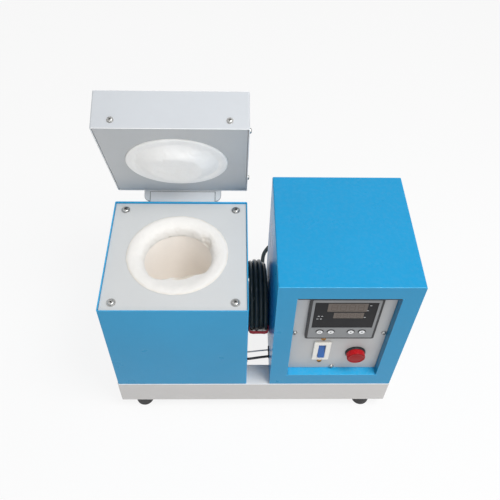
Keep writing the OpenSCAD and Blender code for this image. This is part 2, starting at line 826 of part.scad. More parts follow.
module furnace_terminals() {
    color(fibre_white) on_bench() translate([terminals_x, terminals_y, deck_z + shell_t]) cube(terminals);
}

// Lid, drawn shut and swung open about the hinge
module lid_shell() {
    color(pale_grey) lid_pose() difference() {
        translate([0, 0, lid_z]) linear_extrude(lid_h) rounded(furnace_w, furnace_d, corner_r);
        translate([lid_t, lid_t, lid_z - overlap]) linear_extrude(lid_h - lid_t + overlap)
            rounded(furnace_w - 2 * lid_t, furnace_d - 2 * lid_t, corner_r - lid_t);
        at_lid_screws() translate([0, 0, -lid_t - overlap])
            cylinder(r = screw_hole_r, h = lid_t + 2 * overlap);
        at_strap_screws(-hinge_back - lid_t - overlap) cylinder(r = screw_hole_r, h = lid_t + 2 * overlap);
    }
}

module lid_plate() {
    w = furnace_w - 2 * (lid_t + lid_plate_gap);
    d = furnace_d - 2 * (lid_t + lid_plate_gap);
    z = lid_z + lid_recess;
    color(pale_grey) lid_pose() difference() {
        translate([mid_x - w / 2, mid_y - d / 2, z]) cube([w, d, lid_flange_h]);
        translate([mid_x - w / 2 + lid_t, mid_y - d / 2 + lid_t, z + lid_t])
            cube([w - 2 * lid_t, d - 2 * lid_t, lid_flange_h]);
        translate([mid_x, mid_y, z - overlap]) cylinder(d = mouth_d, h = lid_t + 2 * overlap);
        at_lid_screws() translate([0, 0, -2 * lid_t - lid_plate_gap - overlap])
            cylinder(r = screw_hole_r, h = lid_t + 2 * overlap);
        at_strap_screws(-hinge_back - 2 * lid_t - lid_plate_gap - overlap)
            cylinder(r = screw_hole_r, h = lid_t + 2 * overlap);
    }
}

module lid_screws() {
    color(steel) lid_pose() at_lid_screws() sheet_screw(lid_screw_l);
}

// Fibre pad: a back disc behind the plate, a low bulge in the mouth and a tapered plug in the middle
module lid_pad() {
    plug_r = plug_d / 2;
    back_r = neck_r + pad_ledge;
    seat_z = lid_recess + lid_t;
    back_z = seat_z + pad_back_h;
    slope = plug_r / 9;
    color(fibre_white) lid_pose() translate([mid_x, mid_y, lid_z]) rotate_extrude()
        polygon([[0, back_z], [0, -plug_rise], [plug_r - 3.5 * slope, -plug_rise],
                 [plug_r - 2 * slope, -plug_rise + 0.8], [plug_r - slope, -plug_rise + 3],
                 [plug_r - slope / 3, -pad_rise - 3], [plug_r + slope / 2, -pad_rise - 0.6],
                 [plug_r + 2 * slope, -pad_rise], [neck_r - slope, -pad_rise],
                 [neck_r - slope / 3, -pad_rise * 0.6], [neck_r, 0], [neck_r, seat_z],
                 [back_r, seat_z], [back_r, back_z]]);
}

module lid_blanket() {
    back_z = lid_recess + lid_t + pad_back_h;
    w = furnace_w - 2 * lid_blanket_in;
    d = furnace_d - 2 * lid_blanket_in;
    color(fibre_white) lid_pose() translate([mid_x - w / 2, mid_y - d / 2, lid_z + back_z])
        cube([w, d, lid_h - lid_t - back_z]);
}

// Hinge
module strap_outline() {
    rise = leaf_top - shoulder_z;
    translate([-strap_w / 2, shoulder_z + shoulder_r]) square([strap_w, rise - shoulder_r]);
    translate([-barrel_l / 2, 0]) square([barrel_l, leaf_top]);
    for (s = [-1, 1])
        translate([s * barrel_l / 2, shoulder_z + shoulder_r]) circle(shoulder_r);
}

module hinge_strap() {
    color(pale_grey) lid_pose() difference() {
        at_hinge() {
            upright(leaf_front, strap_t) strap_outline();
            upright(leaf_front - strap_rib, strap_rib + strap_t / 2)
                translate([-barrel_l / 2, barrel_d / 4]) square([barrel_l, hinge_drop - barrel_d / 4]);
            upright(-hinge_back, strap_t + strap_crank / 2)
                translate([-strap_w / 2, strap_z]) square([strap_w, leaf_top - strap_z]);
            upright(-hinge_back, strap_t)
                translate([-strap_w / 2, strap_z]) square([strap_w, strap_h]);
            translate([-barrel_l / 2, 0, 0]) rotate([0, 90, 0]) cylinder(d = barrel_d, h = barrel_l);
        }
        at_hinge() translate([-barrel_l / 2 - overlap, 0, 0]) rotate([0, 90, 0])
            cylinder(r = pin_d / 2 + pin_clear, h = barrel_l + 2 * overlap);
        at_strap_screws(-hinge_back - overlap) cylinder(r = screw_hole_r, h = strap_t + 2 * overlap);
    }
}

module strap_screws() {
    length = strap_t + 2 * lid_t + lid_plate_gap;
    color(steel) lid_pose() at_strap_screws(strap_t - hinge_back) sheet_screw(length);
}

// Cheek outline from the pin: a leg on the wall, a round boss and an arm under the open strap
module cheek_outline() {
    low = plate_top - bracket_h;
    circle(boss_r);
    polygon([[-hinge_back, low], [cheek_t - hinge_back, low], [boss_r - 1, -boss_r / 2], [0, 0],
             [-boss_r, 0], [-hinge_back, plate_top]]);
    rotate(-lid_open)
        polygon([[0, 0], [stop_face, stop_z[0]], [stop_face, stop_z[1]], [stop_face + stop_t, stop_z[1]],
                 [boss_r - 1, 0]]);
}

module hinge_bracket() {
    span = 2 * (cheek_x + cheek_t);
    color(steel) on_bench() difference() {
        at_hinge() {
            for (x = [-cheek_x - cheek_t, cheek_x])
                sideways(x, cheek_t) cheek_outline();
            translate([-span / 2, -hinge_back, plate_top - bracket_h]) cube([span, cheek_t, bracket_h]);
            sideways(-span / 2, span) rotate(-lid_open)
                translate([stop_face, stop_z[0]]) square([stop_t, stop_z[1] - stop_z[0]]);
        }
        at_hinge() translate([-span / 2 - overlap, 0, 0]) rotate([0, 90, 0])
            cylinder(r = pin_d / 2 + pin_clear, h = span + 2 * overlap);
        at_bracket_screws(-hinge_back - overlap) cylinder(r = screw_hole_r, h = cheek_t + 2 * overlap);
    }
}

module bracket_screws() {
    color(steel) on_bench() at_bracket_screws(cheek_t - hinge_back) sheet_screw(cheek_t + shell_t);
}

module hinge_pin() {
    left = cheek_x + cheek_t;
    color(steel) on_bench() at_hinge() rotate([0, 90, 0]) {
        translate([0, 0, -left]) cylinder(d = pin_d, h = 2 * left + pin_tail);
        translate([0, 0, -left - pin_head_h]) cylinder(d = pin_head_d, h = pin_head_h);
    }
}

module hinge_nut() {
    color(steel) on_bench() at_hinge() rotate([0, 90, 0]) translate([0, 0, cheek_x + cheek_t]) difference() {
        hexagon(bolt_af, nut_h);
        translate([0, 0, -overlap]) cylinder(r = pin_d / 2 + pin_clear, h = nut_h + 2 * overlap);
    }
}

// Control box
module control_box_shell() {
    recess_l = panel_back + shell_t;
    color(blue) on_bench() difference() {
        union() {
            difference() {
                upright(0, box_d) translate([box_x, deck_z]) rounded(box_w, box_h, corner_r);
                upright(shell_t, box_d) translate([box_x + shell_t, deck_z + shell_t])
                    rounded(box_w - 2 * shell_t, box_h - 2 * shell_t, corner_r - shell_t);
            }
            translate([panel_x, 0, panel_mid_z]) upright(shell_t / 2, recess_l - shell_t / 2)
                square([open_w + 2 * shell_t, open_h + 2 * shell_t], center = true);
            translate([panel_x, 0, deck_z + box_h / 2]) upright(back_y - shell_t, shell_t)
                frame(box_w - shell_t, box_h - shell_t, panel_lip);
        }
        translate([panel_x, 0, panel_mid_z]) upright(-overlap, panel_back + overlap)
            square([open_w, open_h], center = true);
        translate([panel_x, 0, panel_mid_z]) upright(0, recess_l + overlap)
            square([open_w - 2 * panel_lip, open_h - 2 * panel_lip], center = true);
        at_opening_corners() cylinder(r = relief_r, h = panel_recess + overlap);
        at_panel_screws(recess_l + overlap) cylinder(r = screw_hole_r, h = shell_t + 2 * overlap);
        at_back_screws(back_y - shell_t - overlap) cylinder(r = screw_hole_r, h = shell_t + 2 * overlap);
        at_lead_holes() translate([0, 0, -shell_t - overlap])
            cylinder(r = lead_hole_r, h = shell_t + 2 * overlap);
        at_bolts() translate([0, 0, -overlap]) cylinder(d = bolt_d + 2 * fit, h = shell_t + 2 * overlap);
    }
}

// Bend reliefs at the corners of the front opening
module at_opening_corners() {
    for (x = [-open_w / 2, open_w / 2], z = [-open_h / 2, open_h / 2])
        translate([panel_x + x, panel_recess, panel_mid_z + z]) rotate([90, 0, 0]) children();
}

module control_box_back() {
    color(blue) on_bench() difference() {
        translate([panel_x, 0, deck_z + box_h / 2]) upright(back_y, shell_t)
            square([back_w, back_h], center = true);
        at_back_screws(back_y - overlap) cylinder(r = screw_hole_r, h = shell_t + 2 * overlap);
        for (i = [0:vent_count - 1])
            translate([panel_x + (i - (vent_count - 1) / 2) * vent_pitch, 0, vent_z])
                upright(back_y - overlap, shell_t + 2 * overlap) vent_slot();
        translate([gland_mid[0], back_y - overlap, gland_mid[2]]) rotate([-90, 0, 0])
            cylinder(r = gland_r, h = shell_t + 2 * overlap);
    }
}

module vent_slot() {
    straight = vent_l - vent_w;
    square([vent_w, straight], center = true);
    for (s = [-1, 1])
        translate([0, s * straight / 2]) circle(d = vent_w);
}

module back_screws() {
    color(steel) on_bench() at_back_screws(box_d) sheet_screw(back_screw_l);
}

module control_panel() {
    color(pale_grey) on_bench() difference() {
        translate([panel_x, 0, panel_mid_z]) upright(panel_recess, panel_t)
            square([open_w - 2 * fit, open_h - 2 * fit], center = true);
        translate([panel_x, 0, controller_mid_z]) upright(panel_recess - overlap, panel_t + 2 * overlap)
            square(case_s + 2 * fit, center = true);
        translate([switch_mid_x, 0, switch_mid_z]) upright(panel_recess - overlap, panel_t + 2 * overlap)
            square([switch_body_w + 2 * fit, switch_body_h + 2 * fit], center = true);
        translate([lamp_mid_x, panel_back + overlap, lamp_mid_z]) rotate([90, 0, 0])
            cylinder(d = lamp_hole_d, h = panel_t + 2 * overlap);
        at_panel_screws(panel_back + overlap) cylinder(r = screw_hole_r, h = panel_t + 2 * overlap);
        at_switch_screws(panel_back + overlap) cylinder(r = screw_hole_r, h = panel_t + 2 * overlap);
    }
}

module panel_screws() {
    color(steel) on_bench() at_panel_screws(panel_recess) sheet_screw(panel_t + shell_t + 2);
}

// Controller: positions on its face run from the bezel's lower middle
module on_bezel() {
    translate([panel_x, 0, bezel_z]) children();
}

module at_keys() {
    for (x = key_places)
        translate([x, 0, key_z]) rotate([90, 0, 0]) children();
}

module controller_bezel() {
    face_y = panel_recess - bezel_t;
    color(black) on_bench() difference() {
        on_bezel() upright(face_y, bezel_t) translate([-bezel_s / 2, 0]) rounded(bezel_s, bezel_s, bezel_r);
        on_bezel() upright(face_y - overlap, window_t + overlap)
            translate([-window_w / 2, window_z]) square([window_w, window_h]);
        on_bezel() translate([0, face_y + bezel_t / 2, 0]) at_keys()
            cylinder(r = key_d / 2 + key_clear, h = bezel_t);
        on_bezel() translate([0, panel_recess + overlap, 0]) at_keys()
            cylinder(r = key_d / 2 + key_pocket, h = bezel_t - bezel_skin + overlap);
    }
}

module controller_case() {
    color(black) on_bench() translate([panel_x, 0, controller_mid_z])
        upright(panel_recess, case_l) square(case_s, center = true);
}

module display_outline(grow) {
    translate([upper_x - upper_w / 2 - grow, upper_z - grow])
        square([upper_w + 2 * grow, upper_h + 2 * grow]);
    translate([lower_x - lower_w / 2 - grow, lower_z - grow])
        square([lower_w + 2 * grow, lower_h + 2 * grow]);
}

module controller_window() {
    face_y = panel_recess - bezel_t;
    glass_t = window_t - 0.3;
    color([0.05, 0.05, 0.06]) on_bench() on_bezel()
        upright(face_y + window_t - glass_t, glass_t) difference() {
            translate([fit - window_w / 2, window_z + fit]) square([window_w - 2 * fit, window_h - 2 * fit]);
            display_outline(fit / 2);
        }
}

module controller_display() {
    face_y = panel_recess - bezel_t;
    color([0.20, 0.14, 0.12]) on_bench() on_bezel() upright(face_y + window_t - display_t, display_t)
        display_outline(0);
}

// Key: a round cap in the bezel with a flange behind it that keeps it in
module controller_key(i) {
    face_y = panel_recess - bezel_t;
    flange_front = face_y + bezel_skin + key_clear;
    round_r = key_d / 2;
    cap = flange_front + key_flange_t - face_y + key_proud;
    color([0.16, 0.17, 0.18]) on_bench() on_bezel()
        translate([key_places[i], flange_front + key_flange_t, key_z]) rotate([90, 0, 0]) rotate_extrude()
            polygon([[0, 0], [round_r + key_flange, 0], [round_r + key_flange, key_flange_t],
                     [round_r, key_flange_t], [round_r, cap - 0.6], [round_r - 0.8, cap], [0, cap]]);
}

module key_1() {
    controller_key(0);
}

module key_2() {
    controller_key(1);
}

module key_3() {
    controller_key(2);
}

module key_4() {
    controller_key(3);
}

// Switch
module switch_plate() {
    end_r = 1.5;
    color([0.93, 0.93, 0.92]) on_bench() difference() {
        translate([switch_mid_x - switch_w / 2, 0, switch_mid_z - switch_h / 2])
            upright(panel_recess - switch_t, switch_t) rounded(switch_w, switch_h, end_r);
        translate([switch_mid_x, 0, switch_mid_z])
            upright(panel_recess - switch_t - overlap, switch_t + 2 * overlap)
                square([rocker_w + 2 * rocker_gap, 2 * rocker_slot_half], center = true);
    }
}

// Switch body with the yoke that its screws pull against the panel's back
module switch_body() {
    color(black) on_bench() difference() {
        translate([switch_mid_x, 0, switch_mid_z]) {
            upright(panel_recess, switch_body_l) square([switch_body_w, switch_body_h], center = true);
            upright(panel_back, yoke_t)
                square([switch_body_w, switch_screw_pitch + 2 * yoke_end], center = true);
        }
        at_switch_screws(panel_back + yoke_t + overlap) cylinder(r = screw_hole_r, h = yoke_t + 2 * overlap);
        translate([switch_mid_x, 0, switch_mid_z]) upright(panel_recess - overlap, rocker_pocket + overlap)
            square([rocker_w + 2 * rocker_gap, 2 * rocker_slot_half], center = true);
        translate([switch_mid_x - trunnion_l / 2 - rocker_gap, panel_recess + pivot_depth, switch_mid_z])
            rotate([0, 90, 0]) cylinder(r = trunnion_d / 2 + pin_clear, h = trunnion_l + 2 * rocker_gap);
    }
}

// Rocker profile from its pivot: first number forward, second number up
module switch_rocker() {
    face = pivot_depth + rocker_rise;
    dip = pivot_depth + rocker_dip;
    color([0.12, 0.45, 0.85]) on_bench()
        translate([switch_mid_x, panel_recess + pivot_depth, switch_mid_z]) rotate([-rocker_tilt, 0, 0]) {
            sideways(-rocker_w / 2, rocker_w)
                polygon([[-face, rocker_half], [-dip, 0], [-face, -rocker_half], [-1, -rocker_half - 0.6],
                         [trunnion_d, -5], [trunnion_d, 5], [-1, rocker_half + 0.6]]);
            translate([-trunnion_l / 2, 0, 0]) rotate([0, 90, 0]) cylinder(d = trunnion_d, h = trunnion_l);
        }
}

module switch_screws() {
    color([0.80, 0.52, 0.22]) on_bench() at_switch_screws(panel_recess)
        sheet_screw(panel_t + yoke_t + 2);
}

// Lamp, drawn along its own axis with the panel's face at zero
module on_lamp() {
    translate([lamp_mid_x, panel_recess, lamp_mid_z]) rotate([90, 0, 0]) children();
}

module lamp_ring() {
    r = lamp_d / 2;
    color(black) on_bench() on_lamp() rotate_extrude()
        polygon([[lamp_lens_r - 2, 0], [r, 0], [r, lamp_ring_h - 1], [r - 0.8, lamp_ring_h],
                 [lamp_lens_r + fit, lamp_ring_h], [lamp_lens_r + fit, 1], [lamp_lens_r - 2, 1]]);
}

module lamp_lens() {
    dome_r = 3.5;
    dome_sweep = 75;
    dome = arc([lamp_lens_r - dome_r, lamp_reach - dome_r - 0.5], dome_r, 0, dome_sweep, 6);
    color([0.80, 0.08, 0.08]) on_bench() on_lamp() rotate_extrude()
        polygon(concat([[0, 1], [lamp_lens_r, 1]], dome, [[0, lamp_reach]]));
}

module lamp_body() {
    color(black) on_bench() on_lamp() mirror([0, 0, 1]) {
        translate([0, 0, -1]) cylinder(d = lamp_hole_d - 2 * fit, h = lamp_body_l + 1);
        translate([0, 0, panel_t]) cylinder(r = lamp_nut_r, h = nut_h);
    }
}

// Inside the control box
module relay_heatsink() {
    pitch = sink[0] / (sink_fins - 0.5);
    base_h = 6;
    color(steel) on_bench() translate([panel_x - sink[0] / 2, box_d / 2 - sink[1] / 2, deck_z + shell_t]) {
        translate([0, 0, sink[2] - base_h]) cube([sink[0], sink[1], base_h]);
        for (i = [0:sink_fins - 1])
            translate([i * pitch, 0, 0]) cube([pitch / 2, sink[1], sink[2]]);
    }
}

module relay() {
    color([0.85, 0.85, 0.83]) on_bench()
        translate([panel_x - relay[0] / 2, box_d / 2 - relay[1] / 2, deck_z + shell_t + sink[2]]) cube(relay);
}

module terminal_strip() {
    color(black) on_bench() translate([lead_to, strip_y, deck_z + shell_t]) cube(strip);
}

// Leads held by both boxes
module lead_grommets() {
    color(black) on_bench() {
        lead_grommet(furnace_w, heater_lead_y[0], 1, heater_lead_d);
        lead_grommet(furnace_w, probe_lead_y[0], 1, probe_lead_d);
        lead_grommet(box_x, heater_lead_y[1], -1, heater_lead_d);
        lead_grommet(box_x, probe_lead_y[1], -1, probe_lead_d);
    }
}

module lead_grommet(x, y, side, lead_d) {
    bore = lead_d / 2 + fit;
    translate([x, y, lead_h]) rotate([0, side * 90, 0]) rotate_extrude()
        polygon([[bore, -grommet_neck], [lead_hole_r - fit, -grommet_neck], [lead_hole_r - fit, 0],
                 [grommet_r, 0], [grommet_r - 0.4, grommet_t], [bore, grommet_t]]);
}

module lead(ys, d) {
    x0 = furnace_w + grommet_t + 1;
    x1 = box_x - grommet_t - 1;
    steps = 10;
    crossing = [for (i = [0:steps]) let (s = i / steps, sag = lead_sag * sin(180 * s) ^ 2)
                [x0 + (x1 - x0) * s, ys[0] + (ys[1] - ys[0]) * ease(s), lead_h - sag]];
    tube(concat([[lead_from, ys[0], lead_h]], crossing, [[lead_to, ys[1], lead_h]]), d / 2, lead_sides);
}

module heater_lead() {
    color([0.12, 0.12, 0.13]) on_bench() lead(heater_lead_y, heater_lead_d);
}

module thermocouple_lead() {
    color([0.82, 0.82, 0.80]) on_bench() lead(probe_lead_y, probe_lead_d);
}

// Mains cord: its tube, its standing coil, the tie and the plug
module from_exit() {
    translate([gland_mid[0], cord_exit_y, gland_mid[2]]) children();
}

module cord_gland() {
    tip_r = cord_d / 2 + 1.2;
    color(black) on_bench() translate([gland_mid[0], box_d, gland_mid[2]]) rotate([-90, 0, 0]) {
        translate([0, 0, -shell_t]) cylinder(r = gland_r - fit, h = shell_t);
        hexagon(gland_af, gland_nut_t);
        translate([0, 0, gland_nut_t]) cylinder(r1 = gland_r - 1, r2 = tip_r, h = relief_l);
        translate([0, 0, -shell_t - gland_inner_t]) hexagon(gland_inner_af, gland_inner_t);
    }
}

module cord_tube() {
    color(black) on_bench() from_exit() {
        tube(lead_in_route, cord_d / 2, cord_sides);
        tube(tail_route, cord_d / 2, cord_sides);
    }
}

module cord_coil() {
    color(black) on_bench() translate(coil_mid - [coil_w / 2, 0, 0]) rotate([0, 90, 0]) rotate_extrude()
        translate([coil_r - coil_wall, 0]) square([coil_wall, coil_w]);
}

// Flat band round the coil's bundle, low on the front side
module cord_tie() {
    grow = 0.3;
    reach = coil_r - coil_wall / 2;
    color([0.75, 0.12, 0.15]) on_bench() translate(coil_mid) rotate([tie_angle, 0, 0])
        translate([0, reach, 0]) linear_extrude(tie_w, center = true) difference() {
            square([coil_w + 2 * (grow + tie_t), coil_wall + 2 * (grow + tie_t)], center = true);
            square([coil_w + 2 * grow, coil_wall + 2 * grow], center = true);
        }
}

module cord_plug() {
    tip_r = cord_d / 2 + 1;
    color(black) on_bench() from_exit() translate(plug_at) rotate([0, -90, 0]) {
        cylinder(r1 = tip_r, r2 = plug_relief_r, h = plug_relief_l);
        translate([0, 0, plug_relief_l]) linear_extrude(plug_body[0])
            translate([-plug_body[2] / 2, -plug_body[1] / 2])
                rounded(plug_body[2], plug_body[1], plug_round);
    }
}

module plug_pins() {
    tip = plug_relief_l + plug_body[0];
    color([0.80, 0.70, 0.45]) on_bench() from_exit() translate(plug_at - [tip + plug_pin[0], 0, 0]) {
        translate([0, -plug_pin[1] / 2, earth_pin_z]) cube(plug_pin);
        for (s = [-1, 1])
            translate([0, s * plug_pin_y, live_pin_z]) rotate([s * live_pin_slant, 0, 0])
                translate([0, -plug_pin[1] / 2, 0]) cube(plug_pin);
    }
}

base_tray();
rubber_feet();
foot_screws();
tray_bolts();
furnace_shell();
furnace_floor();
insulation_shelf();
hearth_board();
heating_muffle();
heating_coil();
fibre_blanket();
fibre_collar();
crucible();
top_plate();
top_plate_screws();
thermocouple();
furnace_terminals();
lid_shell();
lid_plate();
lid_screws();
lid_pad();
lid_blanket();
hinge_strap();
strap_screws();
hinge_bracket();
bracket_screws();
hinge_pin();
hinge_nut();
control_box_shell();
control_box_back();
back_screws();
control_panel();
panel_screws();
controller_bezel();
controller_case();
controller_window();
controller_display();
key_1();
key_2();
key_3();
key_4();
switch_plate();
switch_body();
switch_rocker();
switch_screws();
lamp_ring();
lamp_lens();
lamp_body();
relay();
relay_heatsink();
terminal_strip();
lead_grommets();
heater_lead();
thermocouple_lead();
cord_gland();
cord_tube();
cord_coil();
cord_tie();
cord_plug();
plug_pins();
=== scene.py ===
"""Looks of a bench-top crucible furnace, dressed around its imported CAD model.

Lengths are written in millimetres on the bench (x from the furnace's left wall, y from the front, z from
the floor) and turned into the frame's metres where a mesh is made.
"""

from __future__ import annotations

import logging
import math
from collections import Counter
from dataclasses import dataclass
from enum import Enum
from functools import cache
from itertools import combinations
from typing import Callable, Optional, Sequence

import bmesh
import bpy
from mathutils import Matrix, Vector, noise


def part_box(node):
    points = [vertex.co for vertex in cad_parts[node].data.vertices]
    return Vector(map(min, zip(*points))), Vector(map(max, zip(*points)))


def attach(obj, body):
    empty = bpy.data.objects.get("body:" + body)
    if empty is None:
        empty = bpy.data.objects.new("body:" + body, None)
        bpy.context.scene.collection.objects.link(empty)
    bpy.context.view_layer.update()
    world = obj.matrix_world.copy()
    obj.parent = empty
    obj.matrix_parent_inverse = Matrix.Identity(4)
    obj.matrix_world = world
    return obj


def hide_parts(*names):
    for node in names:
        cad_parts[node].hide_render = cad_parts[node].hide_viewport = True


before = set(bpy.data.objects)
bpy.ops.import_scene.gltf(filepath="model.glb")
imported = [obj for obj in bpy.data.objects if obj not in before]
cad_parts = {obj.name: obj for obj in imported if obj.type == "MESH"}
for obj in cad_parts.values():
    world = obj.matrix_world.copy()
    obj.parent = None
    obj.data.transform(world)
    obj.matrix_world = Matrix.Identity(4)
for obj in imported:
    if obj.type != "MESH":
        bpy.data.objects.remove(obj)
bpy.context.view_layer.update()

MM = 0.001
FULL_TURN = 2 * math.pi
WELD_MM = 0.002
MOUTH = (97.5, 97.5)
LOG = logging.getLogger("furnace")

Point = tuple[float, float, float]
Colour = tuple[float, float, float]
Flat = tuple[float, float]
Profile = Sequence[Flat]
Wobble = Callable[[float, float, float], Flat]
Node = bpy.types.Node
Socket = bpy.types.NodeSocket
NodeTree = bpy.types.NodeTree
Mesh = bpy.types.Mesh
Piece = bpy.types.Object
Vert = bmesh.types.BMVert


# Places


class Facing(Enum):
    """Ways that a flat face looks, as the number of an axis and its sign."""

    FRONT = (1, -1)
    LEFT = (0, -1)
    UP = (2, 1)


class Bench:
    """Turns bench millimetres into the row frame's metres, and back for the boxes of CAD nodes."""

    low_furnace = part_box("furnace_shell")[0]

    @classmethod
    def at(cls, x: float, y: float, z: float) -> Vector:
        """Gives a bench place in the row frame.

        Args:
            x: Millimetres from the furnace's left wall.
            y: Millimetres from the front.
            z: Millimetres from the floor.

        Returns:
            The place in metres.
        """
        return Vector((x * MM + cls.low_furnace.x, y * MM + cls.low_furnace.y, z * MM))

    @classmethod
    def frame_of(cls, x: float, y: float, z: float) -> Matrix:
        """Gives the matrix that takes millimetres round a bench place to the row frame."""
        return Matrix.Translation(cls.at(x, y, z)) @ Matrix.Scale(MM, 4)

    @classmethod
    def front_of(cls, x: float, y: float, z: float) -> Matrix:
        """Gives the matrix from millimetres on a front face (right, up, out) to the row frame."""
        return cls.frame_of(x, y, z) @ Matrix.Rotation(math.pi / 2, 4, "X")

    @classmethod
    def millimetres(cls, place: Vector) -> Vector:
        """Gives a place of the row frame in bench millimetres."""
        return (place - cls.at(0, 0, 0)) / MM

    @classmethod
    def box(cls, node: str) -> tuple[Vector, Vector]:
        """Gives the lowest and highest corner of a CAD node in bench millimetres."""
        low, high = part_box(node)
        return cls.millimetres(low), cls.millimetres(high)

    @classmethod
    def behind(cls, node: str) -> Matrix:
        """Gives the front-facing matrix at the middle of a CAD node's back."""
        low, high = cls.box(node)
        return cls.front_of((low.x + high.x) / 2, high.y, (low.z + high.z) / 2)


# Node trees


class Sketch:
    """Adds and joins the nodes of one tree."""

    def __init__(self, tree: NodeTree) -> None:
        """Keeps the tree and empties it."""
        self.tree = tree
        tree.nodes.clear()

    def add(self, kind: str, inputs: Optional[dict] = None, **settings: object) -> Node:
        """Adds a node.

        Args:
            kind: Blender's name for the node type.
            inputs: Values or source sockets, by socket name or number.
            settings: Properties of the node.

        Returns:
            The new node.
        """
        node = self.tree.nodes.new(kind)
        for name, value in settings.items():
            setattr(node, name, value)
        for name, value in (inputs or {}).items():
            if isinstance(value, Socket):
                self.join(value, node.inputs[name])
            else:
                node.inputs[name].default_value = value
        return node

    def join(self, source: Socket, target: Socket) -> None:
        """Links an output to an input."""
        self.tree.links.new(source, target)

    def noise(self, where: Socket, size_mm: float, detail: float) -> Socket:
        """Adds a noise of the given grain size and gives its value."""
        return self.add("ShaderNodeTexNoise", {"Vector": where, "Scale": 1 / (size_mm * MM),
                                               "Detail": detail}).outputs[0]

    def math(self, operation: str, a: object, b: object) -> Socket:
        """Adds a sum on two values and gives its result."""
        return self.add("ShaderNodeMath", {0: a, 1: b}, operation=operation).outputs[0]

    def blend(self, a: Socket, share_a: float, b: Socket, share_b: float) -> Socket:
        """Adds two values up by their shares and gives the result."""
        return self.math("ADD", self.math("MULTIPLY", a, share_a), self.math("MULTIPLY", b, share_b))

    def remap(self, value: Socket, low: float, high: float, to_low: float = 0.0,
              to_high: float = 1.0) -> Socket:
        """Maps a range of a value to another range and gives the result."""
        return self.add("ShaderNodeMapRange", {"Value": value, "From Min": low, "From Max": high,
                                               "To Min": to_low, "To Max": to_high}).outputs[0]

    def mix(self, factor: Socket, a: object, b: object) -> Socket:
        """Mixes two colours and gives the result."""
        return self.add("ShaderNodeMix", {0: factor, 6: a, 7: b}, data_type="RGBA").outputs[2]

    def group(self, tree: NodeTree, **inputs: object) -> Node:
        """Places a node group with its own values."""
        named = {name.title(): value for name, value in inputs.items()}
        return self.add("ShaderNodeGroup", named, node_tree=tree)


